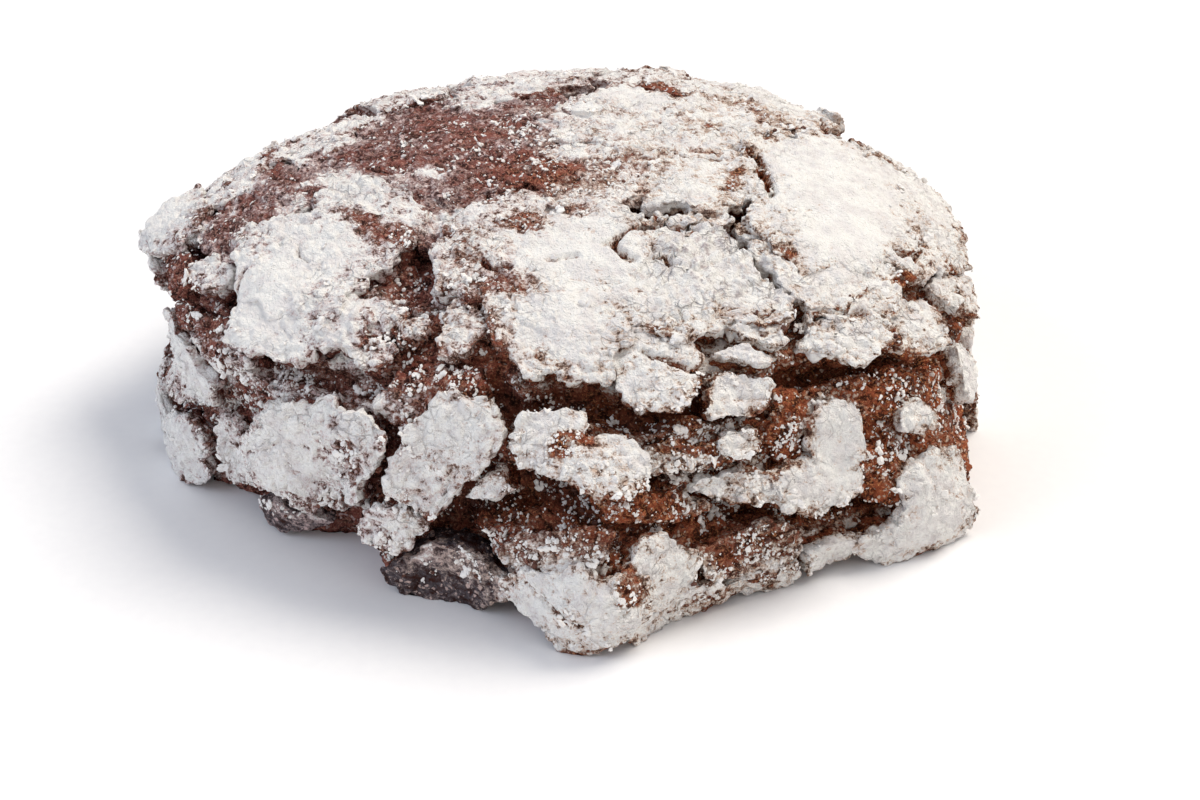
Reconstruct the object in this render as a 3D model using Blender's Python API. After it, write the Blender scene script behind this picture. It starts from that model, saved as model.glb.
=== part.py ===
"""A chocolate crinkle biscuit: a low bun of dark dough whose sugared crust has split into plates.

The baked bun is one piece, so it is one solid. Its form is made in three steps:
  1. a crumb core, a little smaller than the bun, which shows at the bottom of the cracks;
  2. crust plates, each a thick flake with a broken rim, laid on the bun's smooth outer form;
  3. one union that fuses the plates to the core, cut flat where the bun stood on the tray.

+Z is up and the flat base lies on z = 0. The pointed foot of the bun faces -Y, the front.
A place on the bun is given by two angles, seen from the middle of its widest level: the bearing,
0 at the front and growing towards +X, and the rise above the level of the waist.
Sizes in this file are in millimetres, and the mesh is written in metres.
"""

import math
import random
from collections import namedtuple

import bmesh
import bpy
import numpy as np
from mathutils import Vector, noise

MM = 0.001

# ---------------------------------------------------------------- the bun's smooth outer form
HALF_WIDTH = 33.2  # middle to the side walls, at the waist
HALF_DEPTH = 31.0  # middle to the front and back walls, at the waist
WAIST_HEIGHT = 12.0  # the widest level, above the table
MIDDLE_RIGHT = 0.2  # the middle's place, which puts the origin under the middle of the bun's box
MIDDLE_BACK = 3.6
CROWN_RISE = 11.9  # from the waist up to the top of the dome
WALL_DROP = 26.0  # depth at which the wall would close below the waist: it leaves it near upright
DOME_ROUNDNESS = 2.15  # 2 is a plain ellipse, and more is fuller
WALL_ROUNDNESS = 3.0
FOOT_STARTS = 8.0  # rise in degrees at which the foot begins to spread
FOOT_FULL = -16.0  # rise at which it has its full reach

Bulge = namedtuple("Bulge", "bearing reach spread foot_only")
BULGES = (
    Bulge(-95, 0.6, 16, False),  # the left shoulder
    Bulge(-110, -0.7, 9, False),
    Bulge(-138, -2.8, 22, False),  # the back left is flatter
    Bulge(5, 4.2, 14, True),  # the pointed foot at the front
    Bulge(4, 3.0, 5, True),  # its tip
    Bulge(-17, -0.6, 5, True),
    Bulge(-25, 1.7, 5, True),
    Bulge(-35, -3.0, 6, True),  # the wall tucks in beside the foot
    Bulge(-55, -2.0, 5, True),
    Bulge(-72, 0.8, 16, True),
    Bulge(30, 0.9, 7, True),
    Bulge(39, -0.8, 5, True),
    Bulge(54, 5.2, 12, True),  # the broad right-hand foot
    Bulge(74, 2.4, 14, True),
)

# A place where the side wall bulges or tucks in at one height only.
Tuck = namedtuple("Tuck", "bearing rise reach spread tall")
TUCKS = (
    Tuck(-82, -6, -2.0, 14, 5.5),  # the left wall tucks in under the cap
    Tuck(71, -10, -2.2, 12, 4.5),  # and so does the right wall
    Tuck(-91, 5, 1.3, 6, 3.0),  # the jutting left shoulder
)

# ---------------------------------------------------------------- the crumb core
CRUMB_DEPTH = 1.4  # from the outer form down to the crumb between the plates
CRUMB_RELIEF = 0.7  # how uneven the crumb is
CRUMB_SCALE = 3.8  # size of its lumps
CORE_DETAIL = 4  # subdivisions of the ball that the core is shaped from

CRACK_FLOOR = 0.25  # width of a deep crack's floor as a share of its width at the top

# The deep cracks, each along a path of (bearing, rise) places: half its width at the top and
# how much deeper than the crumb it goes.
Crack = namedtuple("Crack", "path half_width depth")
CRACKS = (
    # the long crack under the cap, from the left wall to the right wall
    Crack(((-76, 10), (-68, 4), (-55, 7), (-48, 5), (-39, 7), (-31, 8), (-18, 10)), 1.9, 1.8),
    Crack(((-18, 10), (-11, 11), (-6, 8), (0, 10), (5, 9), (11, 7), (18, 8)), 1.7, 2.4),
    Crack(((18, 8), (29, 6), (35, 8), (41, 7), (50, 5), (61, 3), (72, 0), (84, 1)), 1.6, 2.2),
    # cracks within the cap
    Crack(((-36, 30), (-34, 26), (-33, 21), (-33, 17)), 2.4, 1.0),
    Crack(((26, 42), (34, 38), (44, 36), (50, 32), (62, 33)), 1.2, 0.9),
    Crack(((50, 32), (46, 25), (43, 18), (37, 13)), 1.6, 0.6),
    Crack(((-86, 8), (-76, 11), (-66, 13), (-59, 10)), 1.6, 1.2),
    Crack(((57, 15), (60, 11), (64, 6)), 1.3, 1.2),
    # cracks of the lower ring, from left to right
    Crack(((-83, -10), (-70, -10), (-66, -16), (-68, -25)), 1.8, 1.6),
    Crack(((-25, 6), (-26, 2), (-27, -4), (-31, -9)), 2.2, 1.2),
    Crack(((-54, -21), (-42, -16), (-31, -10), (-22, -7)), 1.8, 2.2),
    Crack(((-22, -13), (-16, -10), (-14, -5), (-8, -4), (-2, 0)), 2.2, 2.4),
    Crack(((-4, -2), (2, -3), (9, -2), (13, 1)), 2.2, 2.2),
    Crack(((-8, -6), (0, -5), (6, -5), (15, -7)), 1.4, 1.4),
    Crack(((21, -6), (27, -8), (33, -11), (42, -12)), 2.2, 2.2),
    Crack(((22, -13), (29, -18), (34, -22)), 1.8, 1.4),
    Crack(((-10, -24), (-11, -17), (-13, -12)), 1.6, 1.4),
)

# ---------------------------------------------------------------- the crust plates
PLATE_ROOT = 3.2  # how far a plate reaches down into the core
RIM_UNDERCUT = 0.82  # width of the root as a share of the plate's width
CRACK_GAP = 0.8  # width of the crack between two plates that meet
NEIGHBOUR_REACH = 1.25  # plates further apart than this share of their reaches don't meet
LEAST_REACH = 0.6  # no crack comes closer to a plate's middle
OUTLINE_JITTER = 0.26  # raggedness of a broken edge, as a share of the plate's reach
OUTLINE_SCALE = 2.2  # distance between its notches
TOP_RELIEF = 0.5  # lumps on a plate's upper face
TOP_SCALE = 4.5
SPOKE_SPACING = 3.3  # distance between the corners of a plate's outline
FEWEST_SPOKES, MOST_SPOKES = 6, 19
SMALL_PLATE = 3.0  # below this half width a plate's upper face needs no inner ring

# The section of a plate, from the middle of its upper face round the rim to its root:
# share of the plate's reach, and depth below the upper face in millimetres.
CRUST_SECTION = ((0.5, 0.0), (0.88, 0.1), (1.0, 0.7), (RIM_UNDERCUT, PLATE_ROOT))
CRUMB_SECTION = ((0.5, 0.1), (0.85, 0.5), (0.95, PLATE_ROOT))

SUGARED, BARE, CRUMB = "sugared", "bare", "crumb"

# lift is how far the plate stands off the outer form, and curl how much its lower edge
# stands out further than its middle. Plates whose groups share a word are not cracked apart.
Plate = namedtuple("Plate", "group bearing rise half_length half_width turn lift curl kind")
FRONT_PLATES = (
    # the cap, left of the middle
    Plate("left_cap crown", -54, 17, 7.4, 4.6, -5, 0.45, 0.2, SUGARED),
    Plate("left_cap", -48, 11, 4.6, 3.3, 0, 0.5, 0.6, SUGARED),
    Plate("left_cap crown", -48, 23, 4.8, 4.0, 50, 0.3, 0.0, SUGARED),
    Plate("left_lumps", -30, 12, 2.0, 1.5, 20, 0.0, 0.2, SUGARED),
    Plate("left_lumps", -25, 16, 2.3, 1.2, 30, -0.1, 0.2, SUGARED),
    Plate("left_cap crown", -59, 30, 5.6, 3.3, 10, 0.0, 0.0, SUGARED),
    Plate("left_edge crown", -67, 11, 2.5, 1.6, 20, 0.1, 0.2, SUGARED),
    Plate("crown", -91, 8, 6.5, 4.0, 20, 0.35, 0.2, SUGARED),
    Plate("crown left_upper", -92, 2, 4.6, 3.0, 0, 0.1, 0.0, SUGARED),
    Plate("crown", -105, 18, 6.5, 3.4, -30, -0.1, 0.0, SUGARED),
    Plate("crown", -120, 26, 6.0, 3.2, -20, -0.2, 0.0, SUGARED),
    Plate("crown upper_middle", -155, 36, 8.5, 3.6, -10, -0.1, 0.0, SUGARED),
    Plate("crown", -81, 18, 6.5, 5.0, -10, -0.3, 0.0, BARE),
    Plate("crown", -87, 38, 10.0, 7.5, -65, -0.3, 0.0, BARE),
    Plate("crown", -95, 62, 11.0, 8.0, -20, -0.2, 0.0, BARE),
    Plate("crown", -44, 39, 6.0, 4.0, -30, -0.4, 0.0, BARE),
    Plate("crown", -128, 38, 7.0, 5.0, -10, -0.25, 0.0, BARE),
    Plate("crown middle_cap upper_middle", -18, 56, 4.6, 3.6, 0, -0.35, 0.0, BARE),
    Plate("crumb_shoulder", -78, 7, 4.2, 2.4, 0, -0.3, 0.0, CRUMB),
    # the cap, middle and right
    Plate("middle_cap crown", -16, 31, 6.8, 5.2, 80, 0.3, 0.0, SUGARED),
    Plate("middle_cap", -2, 21, 10.2, 5.4, -76, 0.5, 0.45, SUGARED),
    Plate("middle_cap", -18, 17, 3.4, 2.2, 80, 0.0, 0.2, SUGARED),
    Plate("middle_cap", 7, 32, 5.0, 5.0, 0, 0.35, 0.0, SUGARED),
    Plate("middle_cap", 27, 22, 7.6, 6.4, 10, 0.4, 0.3, SUGARED),
    Plate("middle_cap", 34, 18, 4.8, 3.0, -15, 0.4, 0.3, SUGARED),
    Plate("middle_cap", 31, 14, 3.2, 2.2, -10, 0.3, 0.2, SUGARED),
    Plate("middle_cap", 15, 12, 3.8, 3.6, -5, 0.55, 0.7, SUGARED),
    Plate("middle_cap upper_middle", 20, 39, 1.5, 0.9, 20, 0.1, 0.2, SUGARED),
    Plate("middle_cap upper_middle", 29, 38, 1.3, 0.8, 0, -0.1, 0.2, SUGARED),
    Plate("middle_cap upper_middle", 37, 35, 1.6, 0.9, -15, 0.1, 0.2, SUGARED),
    Plate("middle_cap upper_middle", 46, 32, 1.2, 0.9, 10, 0.0, 0.2, SUGARED),
    Plate("middle_cap right_cap", 50, 27, 1.7, 1.2, -60, -0.1, 0.0, SUGARED),
    Plate("middle_cap right_cap", 47, 22, 2.4, 1.7, -60, 0.1, 0.0, SUGARED),
    Plate("upper_chip", 28, 12, 3.1, 1.6, -5, 0.5, 0.4, SUGARED),
    Plate("lower_chip", 25, 8, 3.3, 2.3, 5, 0.3, 0.2, SUGARED),
    Plate("upper_middle right_cap", 59, 45, 7.0, 5.6, -45, 0.25, 0.25, SUGARED),
    Plate("upper_middle middle_cap crown", 20, 62, 6.5, 5.0, 65, 0.1, 0.2, SUGARED),
    Plate("upper_middle right_cap crown", 94, 44, 5.6, 5.0, 0, 0.15, 0.0, SUGARED),
    Plate("upper_middle crown", 130, 55, 8.0, 7.5, 60, 0.1, 0.0, SUGARED),
    Plate("upper_middle crown", 164, 63, 1.8, 1.1, 0, 0.5, 0.0, SUGARED),
    Plate("upper_middle right_cap", 122, 28, 8.5, 6.5, -80, 0.2, 0.0, SUGARED),
    Plate("upper_middle right_cap", 122, 15, 1.6, 1.2, 0, 0.5, 0.0, SUGARED),
    Plate("right_cap", 74, 22, 12.0, 8.0, 5, 0.6, 0.0, SUGARED),
    Plate("right_cap right_lobe", 49, 18, 5.0, 4.0, -30, 0.4, 0.2, SUGARED),
    Plate("right_cap right_lobe", 46, 11, 4.8, 3.4, -20, 0.5, 0.8, SUGARED),
    Plate("right_lobe", 56, 8, 4.4, 2.8, -20, 0.5, 0.9, SUGARED),
    Plate("right_cap right_lobe right_rim", 52, 14, 5.6, 3.0, -20, 0.45, 0.1, SUGARED),
    Plate("right_cap right_rim", 79, 11, 5.0, 4.0, -30, 0.5, 0.0, SUGARED),
    Plate("right_cap right_rim", 90, 12, 7.5, 4.6, 5, 0.5, 0.0, SUGARED),
    Plate("right_cap right_rim", 70, 13, 4.6, 2.8, -40, 0.4, 0.0, SUGARED),
    Plate("right_rim", 74, 5, 4.0, 2.2, -50, 0.1, 0.2, SUGARED),
    # the lower ring, left
    Plate("left_flake", -66, 5, 5.0, 1.0, 20, -0.3, 0.4, BARE),
    Plate("left_upper left_side", -69, -3, 7.2, 3.5, 12, 0.2, 0.4, SUGARED),
    Plate("left_lower", -68, -16, 4.8, 3.2, 20, 0.3, 0.3, SUGARED),
    Plate("front_left", -55, -12, 3.4, 2.4, 80, 0.2, 0.0, SUGARED),
    Plate("front_left", -38, -5, 8.4, 4.8, 35, 0.7, 0.3, SUGARED),
    Plate("left_slab", -14, 1, 5.2, 4.1, 45, 0.7, 0.5, SUGARED),
    Plate("block", -22, -10, 4.2, 1.7, 12, 0.5, 0.1, SUGARED),
    Plate("left_foot", -44, -18, 4.4, 1.7, 12, 0.2, 0.0, BARE),
    Plate("middle_chips", -10, -2, 2.8, 0.9, 15, 0.2, 0.2, SUGARED),
    # the lower ring, middle and right
    Plate("diamond", -2, 5, 3.4, 2.4, 20, 0.8, 0.2, SUGARED),
    Plate("diamond", 4, 2, 4.3, 2.7, -15, 1.1, 0.7, SUGARED),
    Plate("boot", 38, -1, 3.1, 2.3, -75, 0.6, 0.1, SUGARED),
    Plate("boot", 34, -6, 4.0, 2.3, -5, 0.8, 0.5, SUGARED),
    Plate("boot", 24, -4, 4.0, 1.3, -12, 0.3, 0.3, SUGARED),
    Plate("small_chip", 24, 2, 1.9, 1.2, -10, 0.2, 0.2, SUGARED),
    Plate("right_chip", 51, -2, 2.0, 1.4, -20, 0.2, 0.2, SUGARED),
    Plate("right_edge", 66, -3, 2.8, 1.7, -75, 0.2, 0.2, SUGARED),
    Plate("right_foot", 52, -12, 4.6, 3.6, -60, 0.4, 0.0, SUGARED),
    Plate("right_foot", 47, -16, 4.8, 1.9, 0, 0.4, 0.0, SUGARED),
    Plate("right_foot", 36, -17, 3.8, 1.4, 0, 0.2, 0.0, SUGARED),
    # the pointed foot
    Plate("foot", 2, -13, 5.6, 3.2, -5, 0.5, 0.0, SUGARED),
    Plate("foot foot_dark", 12, -11, 3.4, 2.8, -20, 0.1, 0.0, SUGARED),
    Plate("foot", -1, -8, 5.0, 2.0, 5, -0.1, 0.0, BARE),
    Plate("foot_side", -16, -17, 5.5, 2.8, 10, 0.1, 0.0, BARE),
    Plate("foot_dark", 25, -13, 5.5, 2.4, -15, 0.0, 0.0, BARE),
    Plate("foot_dark", 28, -18, 5.0, 1.4, -5, 0.1, 0.0, SUGARED),
    Plate("foot foot_dark", 14, -17, 5.4, 2.4, -5, 0.2, 0.0, SUGARED),
    # torn crumb that swelled up between the plates
    Plate("crumb_ridge", 17, 1, 5.5, 1.4, -10, -0.3, 0.0, CRUMB),
    Plate("crumb_band", 48, 2, 9.5, 2.2, -15, -0.4, 0.0, CRUMB),
    Plate("crumb_left", -58, 4, 5.0, 3.0, 15, -0.5, 0.0, CRUMB),
    Plate("crumb_low", 12, -4, 6.0, 1.4, -10, -0.4, 0.0, CRUMB),
    Plate("crumb_right", 33, 1, 4.0, 2.6, -80, -0.3, 0.0, CRUMB),
    Plate("crumb_corner", 46, -8, 4.6, 3.0, -40, -0.3, 0.0, CRUMB),
    Plate("crumb_middle", -20, 8, 5.0, 3.0, 30, -0.6, 0.0, CRUMB),
    # the left-hand side, which the photo hides
    Plate("left_side", -98, -8, 6.0, 4.0, 5, -0.2, 0.2, SUGARED),
    # small flakes that close gaps between large ones
    Plate("left_cap left_lumps", -40, 14, 4.0, 2.8, 0, 0.3, 0.3, SUGARED),
    Plate("left_lumps", -32, 16, 2.6, 1.9, 0, -0.1, 0.1, SUGARED),
    Plate("crown left_edge left_cap", -70, 15, 3.0, 2.4, 0, -0.2, 0.0, BARE),
    Plate("crown", -92, 15, 3.4, 2.8, 0, -0.1, 0.0, SUGARED),
    Plate("crown", -101, 26, 3.6, 2.6, -25, -0.2, 0.0, SUGARED),
    Plate("left_cap crown", -58, 22, 3.6, 3.0, 0, 0.2, 0.0, SUGARED),
    Plate("middle_cap crown upper_middle", -6, 44, 4.2, 2.8, 0, 0.0, 0.0, SUGARED),
    Plate("right_foot", 50, -14, 4.0, 2.6, -50, 0.45, 0.0, SUGARED),
)

# The far side is cracked by a rule: rows of plates at these rises, from one bearing to the other.
BackRow = namedtuple("BackRow", "rise first_bearing last_bearing count half_length half_width")
BACK_ROWS = (
    BackRow(-15, 94, 268, 8, 8.0, 5.6),
    BackRow(4, 114, 250, 6, 8.6, 6.0),
    BackRow(23, 150, 222, 3, 9.5, 7.0),
)
BACK_SEED = 11
BACK_STRAY = 6.0  # degrees by which a plate of the far side strays from its place in the row
BACK_SIZES = (0.85, 1.15)  # its share of the row's size
BACK_TURN = 25.0
BACK_LIFTS = (-0.4, 0.3)
BACK_CURL = 0.5

# Lumps of sugar and crumb that lie in the cracks: bearing, rise and radius.
Lump = namedtuple("Lump", "bearing rise radius")
LUMPS = (
    Lump(-39, 8, 0.9),
    Lump(-57, 6, 0.6),
    Lump(17, 9, 0.8),
    Lump(-12, -9, 0.8),
    Lump(60, -6, 0.8),
    Lump(57, 2, 0.6),
)
LUMP_DETAIL = 1
LUMP_RELIEF = 0.4  # unevenness, as a share of the lump's radius
LUMP_SHOWS = 0.6  # height of its middle above the crack's floor, as a share of its radius

CRUMB_COLOUR = (0.13, 0.048, 0.03, 1.0)
SUGAR_COLOUR = (0.86, 0.84, 0.80, 1.0)


MIDDLE = np.array((MIDDLE_RIGHT, MIDDLE_BACK, WAIST_HEIGHT))


# ---------------------------------------------------------------- the smooth outer form
def direction(bearing, rise):
    """Unit vector from the middle of the waist towards a bearing and a rise, in degrees."""
    turn, tilt = math.radians(bearing), math.radians(rise)
    flat = math.cos(tilt)
    return np.array((math.sin(turn) * flat, -math.cos(turn) * flat, math.sin(tilt)))


def smoothstep(start, end, value):
    """0 at the start and 1 at the end, with a smooth rise between."""
    share = np.clip((value - start) / (end - start), 0.0, 1.0)
    return share * share * (3.0 - 2.0 * share)


def plan_radius(bearing, rise):
    """Radius of the bun's outline at each bearing and rise, in degrees."""
    turn = np.radians(bearing)
    foot = smoothstep(FOOT_STARTS, FOOT_FULL, rise)
    radius = 1.0 / np.hypot(np.sin(turn) / HALF_WIDTH, np.cos(turn) / HALF_DEPTH)
    for bulge in BULGES:
        off = (bearing - bulge.bearing + 180.0) % 360.0 - 180.0
        share = foot if bulge.foot_only else 1.0
        radius = radius + share * bulge.reach * np.exp(-0.5 * (off / bulge.spread) ** 2)
    for tuck in TUCKS:
        off = (bearing - tuck.bearing + 180.0) % 360.0 - 180.0
        far = (off / tuck.spread) ** 2 + ((rise - tuck.rise) / tuck.tall) ** 2
        radius = radius + tuck.reach * np.exp(-0.5 * far)
    return radius


def outer_form(rays):
    """Points of the smooth bun along rays from the middle of the waist, an array of vectors."""
    rays = rays / np.linalg.norm(rays, axis=-1, keepdims=True)
    level = np.hypot(rays[..., 0], rays[..., 1])
    bearing = np.degrees(np.arctan2(rays[..., 0], -rays[..., 1]))
    rise = np.degrees(np.arcsin(np.clip(rays[..., 2], -1.0, 1.0)))
    across = level / plan_radius(bearing, rise)
    steep = np.abs(rays[..., 2])
    dome = (across**DOME_ROUNDNESS + (steep / CROWN_RISE) ** DOME_ROUNDNESS) ** (-1 / DOME_ROUNDNESS)
    wall = (across**WALL_ROUNDNESS + (steep / WALL_DROP) ** WALL_ROUNDNESS) ** (-1 / WALL_ROUNDNESS)
    reach = np.where(rays[..., 2] >= 0.0, dome, wall)
    return MIDDLE + rays * reach[..., None]


def surface_frame(rays):
    """Point, outward normal, level tangent and upward tangent of the outer form."""
    rays = rays / np.linalg.norm(rays, axis=-1, keepdims=True)
    level = np.stack((1e-9 - rays[..., 1], rays[..., 0], np.zeros_like(rays[..., 0])), -1)
    level = level / np.linalg.norm(level, axis=-1, keepdims=True)
    upward = np.cross(rays, level)
    step = 1e-3
    point = outer_form(rays)
    along = outer_form(rays + step * level) - point
    above = outer_form(rays + step * upward) - point
    normal = np.cross(along, above)
    normal = normal / np.linalg.norm(normal, axis=-1, keepdims=True)
    upward = np.cross(normal, level)
    upward = upward / np.linalg.norm(upward, axis=-1, keepdims=True)
    return point, normal, np.cross(upward, normal), upward


def lumpy(point, scale, seed):
    """Smooth noise between about -1 and 1, with lumps of the given size in millimetres."""
    return noise.noise(Vector(point) / scale + Vector((seed * 7.3, seed * 3.1, seed * 5.7)))


def crack_depth(points):
    """How much deeper than the crumb each point of the outer form is cracked."""
    deepest = np.zeros(len(points))
    for crack in CRACKS:
        path = outer_form(np.array([direction(*place) for place in crack.path]))
        nearest = np.full(len(points), np.inf)
        for start, end in zip(path, path[1:]):
            run = end - start
            share = np.clip((points - start) @ run / (run @ run), 0.0, 1.0)
            gap = np.linalg.norm(points - start - share[:, None] * run, axis=1)
            nearest = np.minimum(nearest, gap)
        walls = 1.0 - smoothstep(CRACK_FLOOR * crack.half_width, crack.half_width, nearest)
        deepest = np.maximum(deepest, crack.depth * walls)
    return deepest


# ---------------------------------------------------------------- which plates there are
def back_plates():
    """The plates of the far side, row by row, each a little off its place and size."""
    draw = random.Random(BACK_SEED)
    plates = []
    for row in BACK_ROWS:
        spacing = (row.last_bearing - row.first_bearing) / (row.count - 1)
        for number in range(row.count):
            bearing = row.first_bearing + number * spacing + draw.uniform(-BACK_STRAY, BACK_STRAY)
            rise = row.rise + draw.uniform(-BACK_STRAY, BACK_STRAY)
            half_length = row.half_length * draw.uniform(*BACK_SIZES)
            half_width = row.half_width * draw.uniform(*BACK_SIZES)
            turn = draw.uniform(-BACK_TURN, BACK_TURN)
            lift = draw.uniform(*BACK_LIFTS)
            curl = draw.uniform(0.0, BACK_CURL)
            group = f"back_{len(plates)}"
            plates.append(Plate(group, bearing, rise, half_length, half_width, turn, lift, curl, SUGARED))
    return plates


def oval_reach(plate, angle):
    """Reach of the plate's oval, before any cracking, at an angle in its tangent plane."""
    local = angle - math.radians(plate.turn)
    return 1.0 / math.hypot(math.cos(local) / plate.half_length, math.sin(local) / plate.half_width)


def crack_lines(plate, plates):
    """The straight cracks that part this plate from its neighbours, as (angle, distance) pairs.

    Each crack crosses the line between two middles, where the shares of their reaches meet.
    """
    if plate.kind == CRUMB:
        return []
    point, _, level, upward = surface_frame(direction(plate.bearing, plate.rise))
    lines = []
    for other in plates:
        if set(other.group.split()) & set(plate.group.split()) or other.kind == CRUMB:
            continue
        its_point, _, its_level, its_upward = surface_frame(direction(other.bearing, other.rise))
        offset = its_point - point
        angle = math.atan2(offset @ upward, offset @ level)
        its_angle = math.atan2(-(offset @ its_upward), -(offset @ its_level))
        own, its = oval_reach(plate, angle), oval_reach(other, its_angle)
        distance = float(np.linalg.norm(offset))
        if distance < (own + its) * NEIGHBOUR_REACH + CRACK_GAP:
            lines.append((angle, distance * own / (own + its) - 0.5 * CRACK_GAP))
    return lines


def outline(plate, plates, seed):
    """The plate's broken outline: (across, up) points in its tangent plane, in millimetres."""
    around = math.pi * (plate.half_length + plate.half_width)
    count = int(min(MOST_SPOKES, max(FEWEST_SPOKES, around / SPOKE_SPACING)))
    lines = crack_lines(plate, plates)
    turn = math.radians(plate.turn)
    points = []
    for number in range(count):
        step = 2.0 * math.pi * number / count
        across = plate.half_length * math.cos(step)
        along = plate.half_width * math.sin(step)
        angle = math.atan2(along, across) + turn
        reach = math.hypot(across, along)
        for crack_angle, distance in lines:
            facing = math.cos(angle - crack_angle)
            if facing > 0.05:
                reach = min(reach, max(distance, LEAST_REACH) / facing)
        notch = Vector((math.cos(angle), math.sin(angle), 0.0)) * reach
        reach *= 1.0 + OUTLINE_JITTER * lumpy(notch, OUTLINE_SCALE, seed)
        reach = max(reach, LEAST_REACH)
        points.append((reach * math.cos(angle), reach * math.sin(angle)))
    return points


# ---------------------------------------------------------------- making the meshes
def material(name, colour, roughness):
    """A plain Principled material."""
    made = bpy.data.materials.new(name)
    made.use_nodes = True
    shader = made.node_tree.nodes["Principled BSDF"]
    shader.inputs["Base Color"].default_value = colour
    shader.inputs["Roughness"].default_value = roughness
    return made


def new_object(name, mesh_maker, finish):
    """An object from a bmesh, with its faces facing out."""
    bmesh.ops.recalc_face_normals(mesh_maker, faces=mesh_maker.faces)
    mesh = bpy.data.meshes.new(name)
    mesh_maker.to_mesh(mesh)
    mesh_maker.free()
    mesh.materials.append(finish)
    return bpy.data.objects.new(name, mesh)


def make_core(finish):
    """The crumb core: a ball drawn out to the bun's form, less the depth of the cracks."""
    maker = bmesh.new()
    bmesh.ops.create_icosphere(maker, subdivisions=CORE_DETAIL, radius=1.0)
    rays = np.array([vertex.co for vertex in maker.verts])
    points, normals, _, _ = surface_frame(rays)
    depths = CRUMB_DEPTH + crack_depth(points)
    for vertex, point, normal, depth in zip(maker.verts, points, normals, depths):
        relief = CRUMB_RELIEF * lumpy(point - MIDDLE, CRUMB_SCALE, 1)
        vertex.co = Vector(point - normal * (depth - relief)) * MM
    return new_object("biscuit", maker, finish)


def make_plate(plate, plates, seed, finish):
    """One plate: its outline swept through its section and bent on to the bun's form."""
    section = CRUMB_SECTION if plate.kind == CRUMB else CRUST_SECTION
    if plate.half_width < SMALL_PLATE:
        section = section[1:]
    corners = np.array(outline(plate, plates, seed))
    point, _, level, upward = surface_frame(direction(plate.bearing, plate.rise))
    maker = bmesh.new()
    rings = []
    for share, depth in section:
        flat = corners * share
        rays = point + flat[:, :1] * level + flat[:, 1:] * upward - MIDDLE
        places, normals, _, _ = surface_frame(rays)
        heights = plate.lift - depth - plate.curl * flat[:, 1] / plate.half_width
        relief = np.array([TOP_RELIEF * lumpy(place - MIDDLE, TOP_SCALE, 2) for place in places])
        ring = [
            maker.verts.new(Vector(place + normal * height) * MM)
            for place, normal, height in zip(places, normals, heights + relief)
        ]
        rings.append(ring)
    loops = [[maker.edges.new((a, b)) for a, b in zip(r, r[1:] + r[:1])] for r in rings]
    for upper, lower in zip(loops, loops[1:]):
        bmesh.ops.bridge_loops(maker, edges=upper + lower)
    for rim in (loops[0], loops[-1]):
        cap = bmesh.ops.contextual_create(maker, geom=rim)["faces"]
        bmesh.ops.poke(maker, faces=cap)
    bmesh.ops.triangulate(maker, faces=maker.faces)
    return new_object("plate", maker, finish)


def make_lump(lump, seed, finish):
    """A lump of sugar that lies on a crack's floor."""
    point, normal, _, _ = surface_frame(direction(lump.bearing, lump.rise))
    floor = CRUMB_DEPTH + crack_depth(np.array([point]))[0]
    seat = point - normal * (floor - LUMP_SHOWS * lump.radius)
    maker = bmesh.new()
    bmesh.ops.create_icosphere(maker, subdivisions=LUMP_DETAIL, radius=lump.radius)
    for vertex in maker.verts:
        vertex.co *= 1.0 + LUMP_RELIEF * lumpy(vertex.co, lump.radius, seed)
        vertex.co = (vertex.co + Vector(seat)) * MM
    return new_object("lump", maker, finish)


# ---------------------------------------------------------------- fusing
def fuse(core, flakes):
    """Joins the plates and lumps to the core with one union, and applies it."""
    collection = bpy.data.collections.new("flakes")
    bpy.context.scene.collection.children.link(collection)
    for flake in flakes:
        collection.objects.link(flake)
    union = core.modifiers.new("fuse", "BOOLEAN")
    union.operation = "UNION"
    union.operand_type = "COLLECTION"
    union.collection = collection
    union.solver = "EXACT"
    union.material_mode = "TRANSFER"
    bpy.context.view_layer.update()
    graph = bpy.context.evaluated_depsgraph_get()
    fused = bpy.data.meshes.new_from_object(core.evaluated_get(graph), depsgraph=graph)
    core.modifiers.clear()
    core.data = fused
    for flake in flakes:
        bpy.data.objects.remove(flake)
    bpy.data.collections.remove(collection)


def islands(maker):
    """The separate shells of a mesh, each a set of vertices."""
    waiting, found = set(maker.verts), []
    while waiting:
        shell, edge = set(), [waiting.pop()]
        while edge:
            vertex = edge.pop()
            shell.add(vertex)
            near = {link.other_vert(vertex) for link in vertex.link_edges} & waiting
            waiting -= near
            edge.extend(near)
        found.append(shell)
    return found


def finish_solid(core):
    """Cuts the base flat, and drops scraps and the skins of hollows that the fusing sealed."""
    maker = bmesh.new()
    maker.from_mesh(core.data)
    shells = sorted(islands(maker), key=len)
    for shell in shells[:-1]:
        bmesh.ops.delete(maker, geom=list(shell), context="VERTS")
    cut = bmesh.ops.bisect_plane(
        maker,
        geom=maker.verts[:] + maker.edges[:] + maker.faces[:],
        plane_co=(0.0, 0.0, 0.0),
        plane_no=(0.0, 0.0, -1.0),
        clear_outer=True,
    )
    rim = [piece for piece in cut["geom_cut"] if isinstance(piece, bmesh.types.BMEdge)]
    bmesh.ops.triangle_fill(maker, edges=rim, use_beauty=True, normal=(0.0, 0.0, -1.0))
    bmesh.ops.remove_doubles(maker, verts=maker.verts, dist=1e-7)
    bmesh.ops.triangulate(maker, faces=maker.faces)
    bmesh.ops.recalc_face_normals(maker, faces=maker.faces)
    maker.to_mesh(core.data)
    maker.free()


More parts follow.
